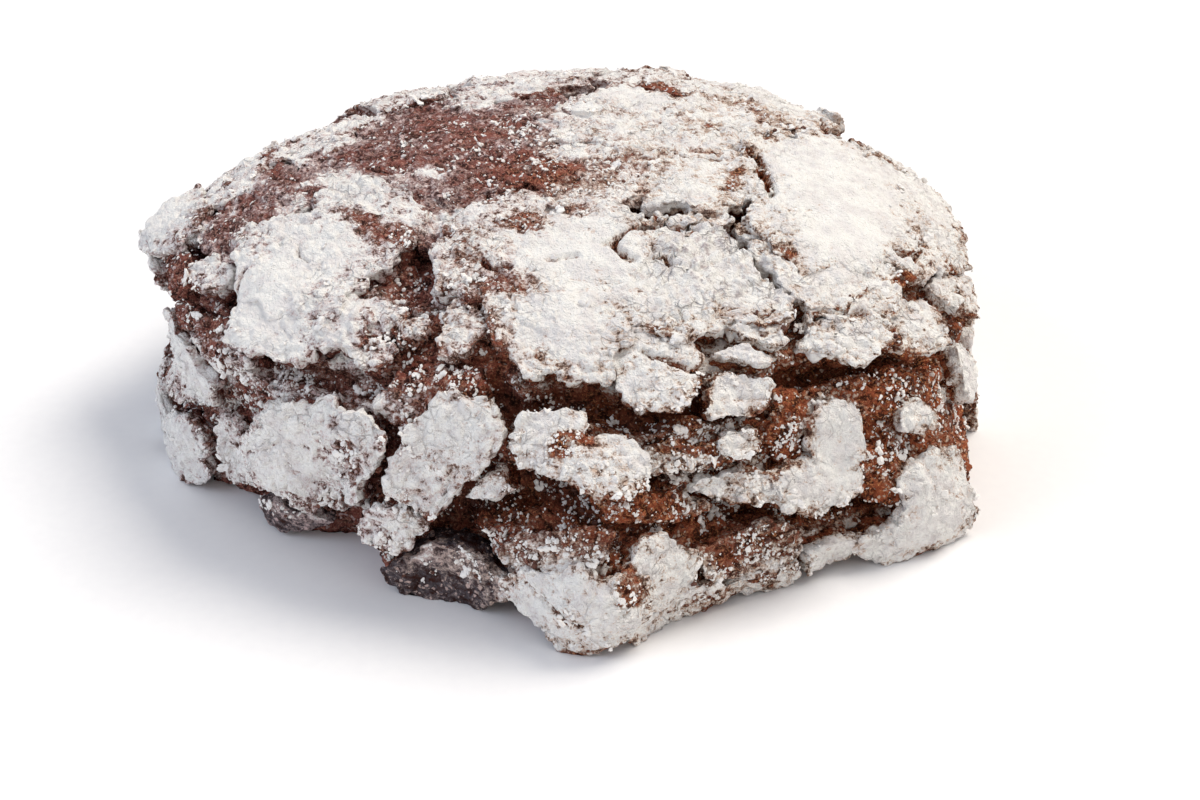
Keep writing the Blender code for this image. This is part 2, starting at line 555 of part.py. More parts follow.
def main():
    """Builds the biscuit as one solid."""
    for old in list(bpy.data.objects):
        bpy.data.objects.remove(old)
    crumb = material("crumb", CRUMB_COLOUR, 0.9)
    sugar = material("sugar", SUGAR_COLOUR, 1.0)
    plates = list(FRONT_PLATES) + back_plates()
    core = make_core(crumb)
    bpy.context.scene.collection.objects.link(core)
    flakes = [
        make_plate(plate, plates, seed, sugar if plate.kind == SUGARED else crumb)
        for seed, plate in enumerate(plates)
    ]
    flakes += [make_lump(lump, seed, sugar) for seed, lump in enumerate(LUMPS)]
    fuse(core, flakes)
    finish_solid(core)


main()
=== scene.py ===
"""The looks of a chocolate crinkle biscuit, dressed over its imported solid.

The dough is a crumb core with torn cracks. On it lie thick flakes of sugared crust, each with a
broken rim, and over both lie clumps and grains of icing sugar and crumbs of baked dough.

A place on the bun is given as in its solid, by two angles seen from the middle of its widest
level: the bearing, 0 at the front and growing towards +X, and the rise above that level.
Sizes are in millimetres, and meshes are written in metres.
"""

import functools
import logging
import math
import random
from dataclasses import dataclass
from enum import Enum

import bmesh
import bpy
import numpy as np
from mathutils import Euler, Matrix, Vector, kdtree, noise


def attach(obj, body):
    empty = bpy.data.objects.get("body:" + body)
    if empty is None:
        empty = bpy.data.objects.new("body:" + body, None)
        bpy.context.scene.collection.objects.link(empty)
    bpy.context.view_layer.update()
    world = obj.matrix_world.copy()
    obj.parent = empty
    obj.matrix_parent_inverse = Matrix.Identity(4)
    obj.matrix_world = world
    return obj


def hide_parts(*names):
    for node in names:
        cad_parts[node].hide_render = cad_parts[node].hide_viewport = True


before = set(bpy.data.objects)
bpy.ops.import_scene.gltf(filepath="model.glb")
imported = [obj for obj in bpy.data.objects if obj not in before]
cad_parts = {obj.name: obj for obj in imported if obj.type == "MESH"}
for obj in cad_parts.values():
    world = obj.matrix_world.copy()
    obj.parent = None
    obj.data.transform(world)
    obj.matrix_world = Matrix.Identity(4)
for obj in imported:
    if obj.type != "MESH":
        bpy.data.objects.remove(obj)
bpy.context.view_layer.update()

log = logging.getLogger("biscuit")

MM = 0.001
NODE = "biscuit"
BODY = "root"
SEED_SHIFT = np.array((7.3, 3.1, 5.7))  # moves a noise pattern for each step of its seed
LAYER_FADE = 0.75  # how fast the lumps on lumps grow weaker
LAYER_STEP = 2.1  # how much finer each layer of them is
COBBLE_CREASE = 0.45  # width of the crease between cobbles, as a share of their size
PORE_SHARE = 0.15  # how far below the middle of its noise a pore begins


# ---------------------------------------------------------------- numbers, noise and meshes
def smoothstep(start: float, end: float, value: np.ndarray) -> np.ndarray:
    """0 at the start and 1 at the end, with a smooth rise between.

    Args:
        start: value at which the rise begins.
        end: value at which it is complete.
        value: the values to map.

    Returns:
        The mapped values.
    """
    share = np.clip((value - start) / (end - start), 0.0, 1.0)
    return share * share * (3.0 - 2.0 * share)


def lumpy(points: np.ndarray, scale: float, seed: float) -> np.ndarray:
    """Smooth noise between about -1 and 1, with lumps of one size.

    Args:
        points: places in millimetres, one a row.
        scale: size of the lumps in millimetres.
        seed: moves the pattern.

    Returns:
        One value for each place.
    """
    places = points / scale + SEED_SHIFT * seed
    return np.fromiter(map(noise.noise, places.tolist()), float, len(places))


def layered(points: np.ndarray, scale: float, seed: float, octaves: int = 4) -> np.ndarray:
    """Noise between about -1 and 1 with finer and finer lumps on its lumps.

    Args:
        points: places in millimetres, one a row.
        scale: size of the largest lumps in millimetres.
        seed: moves the pattern.
        octaves: how many sizes of lump there are.

    Returns:
        One value for each place.
    """
    places = points / scale + SEED_SHIFT * seed
    found = (noise.fractal(place, LAYER_FADE, LAYER_STEP, octaves) for place in places.tolist())
    return np.fromiter(found, float, len(places))


def cobbled(points: np.ndarray, scale: float, seed: float) -> np.ndarray:
    """Uneven lumps parted by sharp creases.

    Args:
        points: places in millimetres, one a row.
        scale: size of the lumps in millimetres.
        seed: moves the pattern.

    Returns:
        One value for each place, from 0 in a crease to 1 on a lump.
    """
    places = points / scale + SEED_SHIFT * seed
    gaps = np.array([noise.voronoi(place)[0][:2] for place in places.tolist()])
    return smoothstep(0.0, COBBLE_CREASE, gaps[:, 1] - gaps[:, 0])


def stirred(points: np.ndarray, scale: float, seed: int, reach: float) -> np.ndarray:
    """Shifts for places, by smooth noise of its own along each axis.

    Args:
        points: places in millimetres, one a row.
        scale: size of the noise in millimetres.
        seed: moves the pattern.
        reach: the longest shift, about.

    Returns:
        A shift for each place.
    """
    return np.stack([lumpy(points, scale, seed + axis) for axis in range(3)], 1) * reach


@dataclass(frozen=True)
class Grain:
    """The fine relief of a broken face, as the size and height of its cobbles, lumps and pores."""

    cobbles: tuple[float, float]
    lumps: tuple[float, float]
    pores: tuple[float, float]
    seed: int
    level: float = 0.7

    def at(
        self,
        places: np.ndarray,
        torn: np.ndarray,
        shares: tuple[np.ndarray | float, ...] = (1.0, 1.0, 1.0),
    ) -> np.ndarray:
        """The relief at places, in millimetres.

        Args:
            places: the places, in millimetres.
            torn: shifts that tear the cobbles' edges.
            shares: how strong the cobbles, the lumps and the pores are at each place.

        Returns:
            The height at each place.
        """
        size, height = self.cobbles
        relief = height * (cobbled(places + torn, size, self.seed) - self.level) * shares[0]
        size, height = self.lumps
        relief += height * layered(places, size, self.seed + 1) * shares[1]
        size, height = self.pores
        if height:
            pores = np.minimum(lumpy(places, size, self.seed + 2) + PORE_SHARE, 0.0)
            relief += pores * height * shares[2]
        return relief


def unit(vectors: np.ndarray) -> np.ndarray:
    """The vectors at length 1, one a row."""
    return vectors / np.linalg.norm(vectors, axis=-1, keepdims=True)


def turned_from(bearing: np.ndarray, middle: float) -> np.ndarray:
    """How far each bearing is from a middle one, from -180 to 180 degrees."""
    return (bearing - middle + 180.0) % 360.0 - 180.0


def rows_of(kind: type, *rows: tuple) -> tuple:
    """A table: one object of the kind for each row."""
    return tuple(kind(*row) for row in rows)


def coordinates(mesh: bpy.types.Mesh) -> np.ndarray:
    """The mesh's vertices as an array.

    Args:
        mesh: the mesh.

    Returns:
        One place a row.
    """
    flat = np.empty(3 * len(mesh.vertices))
    mesh.vertices.foreach_get("co", flat)
    return flat.reshape(-1, 3)


def move_vertices(mesh: bpy.types.Mesh, places: np.ndarray) -> None:
    """Puts the mesh's vertices at these places."""
    mesh.vertices.foreach_set("co", places.ravel())
    mesh.update()


def vertex_normals(mesh: bpy.types.Mesh) -> np.ndarray:
    """The mesh's vertex normals as an array.

    Args:
        mesh: the mesh.

    Returns:
        One normal a row.
    """
    flat = np.empty(3 * len(mesh.vertices), dtype=np.float32)
    mesh.vertex_normals.foreach_get("vector", flat)
    return flat.reshape(-1, 3).astype(float)


def mesh_of(maker: bmesh.types.BMesh, name: str) -> bpy.types.Mesh:
    """Makes a mesh from a bmesh, which is freed.

    Args:
        maker: the bmesh.
        name: the mesh's name.

    Returns:
        The mesh.
    """
    mesh = bpy.data.meshes.new(name)
    maker.to_mesh(mesh)
    maker.free()
    return mesh


@functools.lru_cache(maxsize=None)
def ball_mesh(segments: int) -> bpy.types.Mesh:
    """A unit ball of even quads, drawn out from a subdivided cube.

    Args:
        segments: quads along each edge of the cube.

    Returns:
        The mesh, to be copied.
    """
    maker = bmesh.new()
    bmesh.ops.create_cube(maker, size=2.0)
    bmesh.ops.subdivide_edges(maker, edges=maker.edges, cuts=segments - 1, use_grid_fill=True)
    mesh = mesh_of(maker, f"ball_{segments}")
    move_vertices(mesh, unit(np.tan(coordinates(mesh) * math.pi / 4.0)))
    return mesh


def dressed(
    mesh: bpy.types.Mesh, finish: bpy.types.Material, **values: np.ndarray
) -> bpy.types.Object:
    """A smooth piece with its material, and with the numbers that the finish reads.

    Args:
        mesh: the piece's mesh, which gives it its name.
        finish: its material.
        values: by attribute, one number for each vertex.

    Returns:
        The piece.
    """
    for name, numbers in values.items():
        layer = mesh.attributes.new(name, "FLOAT", "POINT")
        layer.data.foreach_set("value", np.asarray(numbers, dtype=np.float32))
    mesh.materials.clear()
    mesh.materials.append(finish)
    mesh.shade_smooth()
    return bpy.data.objects.new(mesh.name, mesh)


# ---------------------------------------------------------------- the bun's smooth outer form
@dataclass(frozen=True)
class Bulge:
    """A place where the outline stands out or tucks in."""

    bearing: float
    reach: float
    spread: float
    foot_only: bool


@dataclass(frozen=True)
class SurfaceFrame:
    """Places on the outer form, with the outward normal and two tangents at each."""

    point: np.ndarray
    normal: np.ndarray
    level: np.ndarray
    upward: np.ndarray

    def on_plane(self, flat: np.ndarray) -> np.ndarray:
        """Places on the tangent plane at one point, from steps across and up it."""
        return self.point + flat[:, :1] * self.level + flat[:, 1:] * self.upward


BULGES = (
    Bulge(-95, 0.6, 16, False),  # the left shoulder
    Bulge(-110, -0.7, 9, False),
    Bulge(-138, -2.8, 22, False),  # the back left is flatter
    Bulge(5, 4.2, 14, True),  # the pointed foot at the front
    Bulge(4, 3.0, 5, True),  # its tip
    Bulge(-17, -0.6, 5, True),
    Bulge(-25, 1.7, 5, True),
    Bulge(-35, -3.0, 6, True),  # the wall tucks in beside the foot
    Bulge(-55, -2.0, 5, True),
    Bulge(-72, 0.8, 16, True),
    Bulge(30, 0.9, 7, True),
    Bulge(39, -0.8, 5, True),
    Bulge(54, 5.2, 12, True),  # the broad right-hand foot
    Bulge(74, 2.4, 14, True),
)


@dataclass(frozen=True)
class Tuck:
    """A place where the side wall bulges or tucks in at one height only."""

    bearing: float
    rise: float
    reach: float
    spread: float
    tall: float


TUCKS = (
    Tuck(-82, -6, -2.0, 14, 5.5),  # the left wall tucks in under the cap
    Tuck(71, -10, -2.2, 12, 4.5),  # and so does the right wall
    Tuck(-91, 5, 1.3, 6, 3.0),  # the jutting left shoulder
)


@dataclass(frozen=True)
class OuterForm:
    """The low bun without its cracks, as the solid has it."""

    half_width: float = 33.2
    half_depth: float = 31.0
    middle: tuple[float, float, float] = (0.2, 3.6, 12.0)
    crown_rise: float = 11.9
    wall_drop: float = 26.0
    dome_roundness: float = 2.15
    wall_roundness: float = 3.0
    foot_starts: float = 8.0
    foot_full: float = -16.0
    step: float = 1e-3

    @property
    def centre(self) -> np.ndarray:
        """The middle of the widest level."""
        return np.array(self.middle)

    def direction(self, bearing: float, rise: float) -> np.ndarray:
        """Unit vector from the middle towards a place on the bun.

        Args:
            bearing: in degrees, 0 at the front and growing towards +X.
            rise: in degrees above the widest level.

        Returns:
            The vector.
        """
        turn, tilt = math.radians(bearing), math.radians(rise)
        flat = math.cos(tilt)
        return np.array((math.sin(turn) * flat, -math.cos(turn) * flat, math.sin(tilt)))

    def plan_radius(self, bearing: np.ndarray, rise: np.ndarray) -> np.ndarray:
        """Radius of the outline.

        Args:
            bearing: the bearings, in degrees.
            rise: the rise of each, in degrees.

        Returns:
            The radius at each, in millimetres.
        """
        turn = np.radians(bearing)
        foot = smoothstep(self.foot_starts, self.foot_full, rise)
        radius = 1.0 / np.hypot(np.sin(turn) / self.half_width, np.cos(turn) / self.half_depth)
        for bulge in BULGES:
            off = turned_from(bearing, bulge.bearing)
            share = foot if bulge.foot_only else 1.0
            radius = radius + share * bulge.reach * np.exp(-0.5 * (off / bulge.spread) ** 2)
        for tuck in TUCKS:
            off = turned_from(bearing, tuck.bearing)
            far = (off / tuck.spread) ** 2 + ((rise - tuck.rise) / tuck.tall) ** 2
            radius = radius + tuck.reach * np.exp(-0.5 * far)
        return radius

    def points(self, rays: np.ndarray) -> np.ndarray:
        """Points of the form.

        Args:
            rays: directions from its middle.

        Returns:
            The point that each direction meets.
        """
        rays = unit(rays)
        level = np.hypot(rays[..., 0], rays[..., 1])
        bearing = np.degrees(np.arctan2(rays[..., 0], -rays[..., 1]))
        rise = np.degrees(np.arcsin(np.clip(rays[..., 2], -1.0, 1.0)))
        across = level / self.plan_radius(bearing, rise)
        steep = np.abs(rays[..., 2])
        dome = self.roundness(across, steep / self.crown_rise, self.dome_roundness)
        wall = self.roundness(across, steep / self.wall_drop, self.wall_roundness)
        reach = np.where(rays[..., 2] >= 0.0, dome, wall)
        return self.centre + rays * reach[..., None]

    def roundness(self, across: np.ndarray, steep: np.ndarray, power: float) -> np.ndarray:
        """Reach along rays of a superellipse of the given power."""
        return (across**power + steep**power) ** (-1.0 / power)

    def frame(self, rays: np.ndarray) -> SurfaceFrame:
        """Point, outward normal and tangents of the form.

        Args:
            rays: directions from its middle.

        Returns:
            The frame at the point that each direction meets.
        """
        rays = unit(rays)
        level = np.stack((1e-9 - rays[..., 1], rays[..., 0], np.zeros_like(rays[..., 0])), -1)
        level = unit(level)
        upward = np.cross(rays, level)
        point = self.points(rays)
        along = self.points(rays + self.step * level) - point
        above = self.points(rays + self.step * upward) - point
        normal = unit(np.cross(along, above))
        upward = unit(np.cross(normal, level))
        return SurfaceFrame(point, normal, np.cross(upward, normal), upward)


# ---------------------------------------------------------------- where the sugar lies
@dataclass(frozen=True)
class Patch:
    """An oval place with more or less sugar than round about, in a rougher or smoother coat."""

    bearing: float
    rise: float
    half_length: float
    half_width: float
    turn: float
    sugar: float
    relief: float = 0.0


PATCHES = rows_of(
    Patch,
    # thick, smooth sugar
    (-54, 14, 3.6, 3.0, 0, 0.28, -0.6), (-54, 21, 4.6, 2.2, -5, 0.24, -0.4),
    (120, 15, 2.2, 1.8, 0, 0.35), (90, 13, 3.4, 3.0, 0, 0.2, -0.2), (62, 16, 3.0, 2.0, 0, 0.14),
    (-63, -1, 3.6, 2.2, 15, 0.22, -0.2), (-68, -16, 3.6, 2.2, 15, 0.2, -0.2),
    (-47, 10, 2.8, 2.0, 0, 0.25, -0.5), (5, 30, 3.8, 3.8, 0, 0.3, -0.7),
    (-1, 18, 3.2, 2.6, 0, 0.24, -0.4), (78, 23, 8.4, 5.4, 0, 0.3, -0.7),
    (58, 18, 4.6, 2.2, -10, 0.26, -0.5), (14, 12, 3.2, 2.4, 0, 0.12, -0.3),
    (146, 44, 3.2, 1.1, 0, 0.34, -0.6), (164, 63, 1.5, 0.8, 0, 0.4, -0.8),
    (56, 41, 3.0, 1.4, 0, 0.2, -0.4), (-92, 8, 3.4, 2.2, 0, 0.22, -0.4),
    (39, 0, 2.8, 2.2, 0, 0.2, -0.4), (35, -6, 2.8, 1.6, 0, 0.2, -0.4),
    (4, 2, 3.4, 2.0, -15, -0.02, -0.3), (1, 4, 1.3, 0.9, 0, -0.5), (-2, 6, 2.2, 1.4, 0, 0.16, -0.2),
    (-16, 4, 3.0, 2.2, 40, 0.04, -0.3), (-42, -6, 4.0, 2.8, 20, 0.16, -0.4),
    (28, 12, 2.4, 1.2, 0, 0.2, -0.3), (26, 8, 2.2, 1.2, 0, 0.15, -0.3),
    (52, -12, 3.6, 2.6, 0, 0.2, -0.4), (46, -16, 3.4, 1.6, 0, 0.15, -0.3),
    (2, -13, 4.4, 2.4, 0, 0.12, -0.3), (12, -11, 2.4, 1.8, 0, 0.08, -0.2),
    # the row at bearing -25 thins the sugar on the block's face as painted shade
    (66, 20, 5.0, 2.6, 0, 0.14, -0.2), (-25, -10, 2.6, 1.4, 0, -0.1, 0.1),
    (-15, -9, 1.8, 1.6, 0, -0.45), (-30, -1, 1.1, 3.4, 15, -0.26, 0.4),
    # a lumpy coat
    (29, 20, 6.0, 4.6, 0, 0.2, 0.3), (34, 29, 4.0, 2.6, 0, 0.08, 0.7),
    (50, 12, 6.0, 3.2, -10, 0.1, 0.3), (-28, 14, 3.4, 2.4, 0, -0.12, 0.4),
    # worn or thinly dusted, left of the middle
    (-44, 26, 2.6, 2.4, 40, -0.12), (-41, 29, 1.8, 1.4, 0, -0.16), (-55, 28, 4.0, 1.0, 0, -0.22),
    (-39, 14, 3.2, 2.2, 0, 0.14), (-96, 20, 3.6, 1.0, 20, -0.3), (-132, 32, 4.0, 1.2, 0, -0.3),
    (-178, 46, 4.0, 1.0, 0, -0.4), (-66, 2, 3.0, 1.2, 20, -0.06),
    # worn or thinly dusted, middle
    (-11, 38, 1.8, 1.5, 0, -0.4), (-11, 24, 2.6, 1.2, -10, -0.34), (-22, 29, 2.4, 2.4, 0, -0.14),
    (-27, 34, 2.6, 1.2, 30, -0.18), (-18, 16, 2.4, 2.6, 0, -0.14), (20, 62, 5.0, 3.2, 0, -0.22),
    (106, 47, 3.0, 1.9, 0, -0.2), (125, 54, 6.0, 3.0, 0, 0.1), (134, 59, 3.0, 1.4, 0, -0.12),
    (145, 34, 3.2, 0.9, 0, -0.4), (115, 28, 3.4, 1.4, 0, -0.3), (64, 38, 2.2, 1.3, 0, -0.24),
    (24, 17, 3.8, 1.4, 0, -0.22),
    # worn or thinly dusted, right
    (84, 15, 3.4, 1.6, 60, -0.14), (63, 10, 3.0, 0.7, -50, -0.6),
    # dusted spots on the worn crown
    (-75, 30, 4.4, 1.7, 15, 0.46), (-22, 65, 3.2, 2.6, 0, -0.5), (-64, 21, 3.0, 1.2, 0, 0.2),
    (-65, 44, 1.6, 0.9, 0, 0.46), (-72, 23, 2.6, 0.9, 10, 0.36), (-37, 38, 1.9, 1.1, 30, 0.5),
    (-84, 16, 1.4, 0.6, 0, 0.4), (-100, 50, 6.0, 4.0, 0, -0.06, -0.5),
    # torn crumb: dusty on the left and in the middle, clean on the right
    (-32, 6, 5.0, 2.6, 0, 0.2), (-20, 6, 4.0, 2.4, 0, 0.16), (-47, 1, 4.0, 2.2, 0, 0.28),
    (-52, 6, 4.0, 2.0, 0, 0.26), (15, 0, 3.6, 1.3, -10, 0.22), (18, -4, 3.0, 1.2, 0, 0.16),
    (13, 4, 2.6, 1.0, -10, -0.1), (30, 3, 3.0, 3.4, 0, -0.1), (45, 1, 6.0, 2.6, 0, -0.04),
    (20, 3, 4.0, 2.2, 0, 0.12), (46, -8, 3.4, 2.6, 0, 0.1),
    # the foot
    (-2, -8, 5.0, 1.8, 0, 0.17), (-14, -14, 4.0, 2.0, 0, 0.12), (20, -18, 5.0, 1.2, 0, -0.2),
    (7, -10, 1.3, 1.5, 0, -0.45), (-44, -18, 4.0, 1.8, 0, 0.06, -0.6),
    # the row at bearing -17 thins the sugar on the foot's side as painted shade
    (-17, -17, 4.6, 2.0, 0, -0.1, -0.4), (24, 2, 1.8, 1.2, 0, -0.08), (66, -3, 2.8, 2.2, 0, 0.3),
    (43, -10, 1.3, 1.5, 0, -0.45), (-62, -1, 3.0, 2.6, 0, 0.14), (38, -16, 3.6, 1.6, 0, 0.2),
    # the row at bearing 22 thins the sugar on the toe as painted shade
    (150, 44, 5.0, 2.4, 0, 0.16), (22, -4, 2.4, 1.6, 0, -0.1, 0.3), (16, 2, 5.0, 2.4, 0, 0.12),
    (-34, 7, 4.0, 2.0, 0, 0.14), (-33, 22, 2.0, 4.0, 0, 0.1), (30, 27, 5.0, 3.0, 0, 0.1),
    (40, 4, 5.0, 2.2, 0, 0.08),
)


@dataclass(frozen=True)
class Dusting:
    """How much icing sugar lies at each place: 1 is a thick crust, and 0 is bare crumb."""

    form: OuterForm
    blur: float = 0.45
    stray: float = 1.0
    stray_scale: float = 1.7
    unevenness: float = 0.17
    unevenness_scale: float = 3.2

    def at(self, points: np.ndarray, base: np.ndarray | float) -> tuple[np.ndarray, np.ndarray]:
        """The sugar at places on the bun.

        Args:
            points: the places, in millimetres.
            base: how much lies there before the patches.

        Returns:
            The amount at each place, and how rough its coat is, 1 being usual.
        """
        amount = base + self.unevenness * layered(points, self.unevenness_scale, 20, 3)
        relief = np.ones(len(points))
        ragged = points + stirred(points, self.stray_scale, 21, self.stray)
        for patch in PATCHES:
            spot = self.form.frame(self.form.direction(patch.bearing, patch.rise))
            offset = ragged - spot.point
            across, up = offset @ spot.level, offset @ spot.upward
            turn = math.radians(patch.turn)
            along = (across * math.cos(turn) + up * math.sin(turn)) / patch.half_length
            beside = (up * math.cos(turn) - across * math.sin(turn)) / patch.half_width
            share = smoothstep(1.0 + self.blur, 1.0 - self.blur, np.hypot(along, beside))
            amount += patch.sugar * share
            relief += patch.relief * share
        return np.clip(amount, 0.0, 1.0), np.clip(relief, 0.15, 1.8)


# ---------------------------------------------------------------- the crumb core
@dataclass(frozen=True)
class Crack:
    """A deep crack along a path of (bearing, rise) places."""

    path: tuple[tuple[float, float], ...]
    half_width: float
    depth: float


CRACKS = rows_of(
    Crack,
    # the long crack under the cap, from the left wall to the right wall
    (((-76, 10), (-68, 4), (-55, 7), (-48, 5), (-39, 7), (-31, 8), (-18, 10)), 1.9, 1.8),
    (((-18, 10), (-11, 11), (-6, 8), (0, 10), (5, 9), (11, 7), (18, 8)), 1.7, 2.4),
    (((18, 8), (29, 6), (35, 8), (41, 7), (50, 5), (61, 3), (72, 0), (84, 1)), 1.6, 2.2),
    # cracks within the cap
    (((-36, 30), (-34, 26), (-33, 21), (-33, 17)), 2.4, 1.0),
    (((26, 42), (34, 38), (44, 36), (50, 32), (62, 33)), 1.2, 0.9),
    (((50, 32), (46, 25), (43, 18), (37, 13)), 1.6, 0.6),
    (((-86, 8), (-76, 11), (-66, 13), (-59, 10)), 1.6, 1.2),
    (((57, 15), (60, 11), (64, 6)), 1.3, 1.2),
    # cracks of the lower ring, from left to right
    (((-83, -10), (-70, -10), (-66, -16), (-68, -25)), 1.8, 1.6),
    (((-25, 6), (-26, 2), (-27, -4), (-31, -9)), 2.2, 1.2),
    (((-54, -21), (-42, -16), (-31, -10), (-22, -7)), 1.8, 2.2),
    (((-22, -13), (-16, -10), (-14, -5), (-8, -4), (-2, 0)), 2.2, 2.4),
    (((-4, -2), (2, -3), (9, -2), (13, 1)), 2.2, 2.2),
    (((-8, -6), (0, -5), (6, -5), (15, -7)), 1.4, 1.4),
    (((21, -6), (27, -8), (33, -11), (42, -12)), 2.2, 2.2),
    (((22, -13), (29, -18), (34, -22)), 1.8, 1.4), (((-10, -24), (-11, -17), (-13, -12)), 1.6, 1.4),
)


SPLITS = rows_of(
    Crack,
    # fine cracks in the crust, which don't reach the crumb everywhere
    (((12, 32), (16, 34), (22, 35)), 0.5, 1.1), (((13, 32), (14, 30), (16, 28)), 0.45, 1.0),
    (((22, 28), (24, 28), (24, 26)), 0.35, 0.8), (((28, 42), (30, 36), (36, 32)), 0.5, 1.1),
    (((70, 56), (79, 53), (74, 48), (78, 42)), 0.4, 0.8),
    (((88, 39), (86, 36), (81, 34), (72, 33), (64, 30)), 0.6, 1.2),
    (((-58, 20), (-55, 19), (-52, 19)), 0.25, 0.4), (((-60, 14), (-56, 9), (-53, 8)), 0.3, 0.6),
    (((118, 19), (112, 21), (106, 22)), 0.35, 0.7), (((12, 14), (16, 12), (20, 11)), 0.35, 0.8),
    (((42, 14), (48, 12), (54, 10)), 0.35, 0.6), (((66, 14), (68, 12), (72, 12)), 0.4, 0.8),
    (((-3, 29), (0, 29), (3, 30)), 0.35, 0.5), (((-45, -2), (-41, -8), (-36, -10)), 0.3, 0.3),
    (((-48, -8), (-42, -4), (-37, -3)), 0.3, 0.3), (((-19, 28), (-16, 26), (-12, 27)), 0.4, 0.8),
    (((-24, 22), (-20, 20), (-16, 21)), 0.4, 0.7), (((-4, -12), (2, -14), (8, -12)), 0.35, 0.6),
)


def crack_profile(
    form: OuterForm, cracks: tuple[Crack, ...], points: np.ndarray, floor: float
) -> np.ndarray:
    """How deep cracks are at points of the outer form.

    Args:
        form: the bun's smooth form.
        cracks: the cracks to look at.
        points: the places, in millimetres.
        floor: width of a crack's flat floor as a share of its width at the top.

    Returns:
        The depth of the deepest crack at each point.
    """
    deepest = np.zeros(len(points))
    for crack in cracks:
        path = form.points(np.array([form.direction(*place) for place in crack.path]))
        nearest = np.full(len(points), np.inf)
        for start, end in zip(path, path[1:]):
            run = end - start
            share = np.clip((points - start) @ run / (run @ run), 0.0, 1.0)
            gap = np.linalg.norm(points - start - share[:, None] * run, axis=1)
            nearest = np.minimum(nearest, gap)
        narrow = floor * crack.half_width
        depth = crack.depth * (1.0 - smoothstep(narrow, crack.half_width, nearest))
        deepest = np.maximum(deepest, depth)
    return deepest


@dataclass
class CrumbCore:
    """The baked dough that shows between the flakes of crust, with its cracks and flat base."""

    form: OuterForm
    dusting: Dusting
    segments: int = 127
    crumb_depth: float = 1.4
    relief: float = 0.7
    relief_scale: float = 3.8
    crack_floor: float = 0.25
    waist_polar: float = 90.0
    table_polar: float = 132.0
    table_rise: float = -22.0
    torn_scale: float = 1.3
    torn_reach: float = 0.6
    sugar: float = 0.16
    crack_loss: float = 0.07
    sheltered: tuple[float, float] = (0.3, 1.5)
    bare_below: float = 0.2
    cavity_start: float = 0.8
    cavity_reach: float = 1.8
    grain: Grain = Grain((1.4, 0.32), (1.3, 0.3), (0.6, 0.9), 31, 0.78125)

    def rays(self, ball: np.ndarray) -> np.ndarray:
        """Directions from the middle that space the ball's vertices evenly over the bun.

        Args:
            ball: the unit ball's vertices.

        Returns:
            One direction for each vertex.
        """
        polar = np.degrees(np.arccos(np.clip(ball[:, 2], -1.0, 1.0)))
        sweep = np.linspace(0.0, math.pi / 2.0, 200)
        out, up = self.form.half_width * np.sin(sweep), self.form.crown_rise * np.cos(sweep)
        run = np.concatenate(((0.0,), np.cumsum(np.hypot(np.diff(out), np.diff(up)))))
        knots = np.concatenate((run / run[-1] * self.waist_polar, (self.table_polar, 180.0)))
        rises = np.concatenate((np.degrees(np.arctan2(up, out)), (self.table_rise, -90.0)))
        rise = np.radians(np.interp(polar, knots, rises))
        turn = np.arctan2(ball[:, 1], ball[:, 0])
        flat = np.cos(rise)
        return np.stack((flat * np.cos(turn), flat * np.sin(turn), np.sin(rise)), 1)

    def build(self, crust: "Crust", finish: bpy.types.Material) -> bpy.types.Object:
        """Makes the core as one closed shell.

        Args:
            crust: the crust, which sugar has fallen from.
            finish: the dough's material.

        Returns:
            The core.
        """
        mesh = ball_mesh(self.segments).copy()
        surface = self.form.frame(self.rays(coordinates(mesh)))
        torn = stirred(surface.point, self.torn_scale, 30, self.torn_reach)
        cracked = crack_profile(self.form, CRACKS, surface.point + torn, self.crack_floor)
        local = surface.point - self.form.centre
        relief = self.relief * lumpy(local, self.relief_scale, 1)
        depth = self.crumb_depth + cracked - relief
        places = surface.point - surface.normal * depth[:, None]
        move_vertices(mesh, places)
        places = places + vertex_normals(mesh) * self.grain.at(places, torn)[:, None]
        places[:, 2] = np.maximum(places[:, 2], 0.0)
        move_vertices(mesh, places * MM)
        mesh.name = "crumb_core"
        sugar, _ = self.dusting.at(surface.point, self.sugar)
        reached = 1.0 - smoothstep(*self.sheltered, cracked)
        sugar += crust.fallen(surface.point) * reached - self.crack_loss * cracked
        sugar = np.where(places[:, 2] < self.bare_below, 0.0, np.clip(sugar, 0.0, 1.0))
        # painted shade: the crumb is darkened towards near black where it lies deep in a crack
        cavity = np.clip((cracked - self.cavity_start) / self.cavity_reach, 0.0, 1.0)
        worn, rough = np.zeros(len(places)), np.ones(len(places))
        return dressed(mesh, finish, sugar=sugar, cavity=cavity, worn=worn, rough=rough)


# ---------------------------------------------------------------- the crust's flakes
class Kind(Enum):
    """What covers a flake, as how much sugar lies on it."""

    SUGARED = 0.78
    BARE = 0.27
    CRUMB = 0.14


class Region(Enum):
    """The pieces that the crust is made in."""

    CROWN = "crust_crown"
    CAP_LEFT = "crust_cap_left"
    CAP_TOP = "crust_cap_top"
    CAP_MIDDLE = "crust_cap_middle"
    CAP_RIGHT = "crust_cap_right"
    RING_LEFT = "crust_ring_left"
    RING_RIGHT = "crust_ring_right"
    BACK = "crust_back"


@dataclass(frozen=True)
class Flake:
    """A flake of crust: flakes that share a word of their group are not cracked apart.

    lift is how far it stands off the outer form, and curl how much its lower edge stands out
    further than its middle.
    """

    region: Region
    group: str
    bearing: float
    rise: float
    half_length: float
    half_width: float
    turn: float
    lift: float
    curl: float
    kind: Kind = Kind.SUGARED


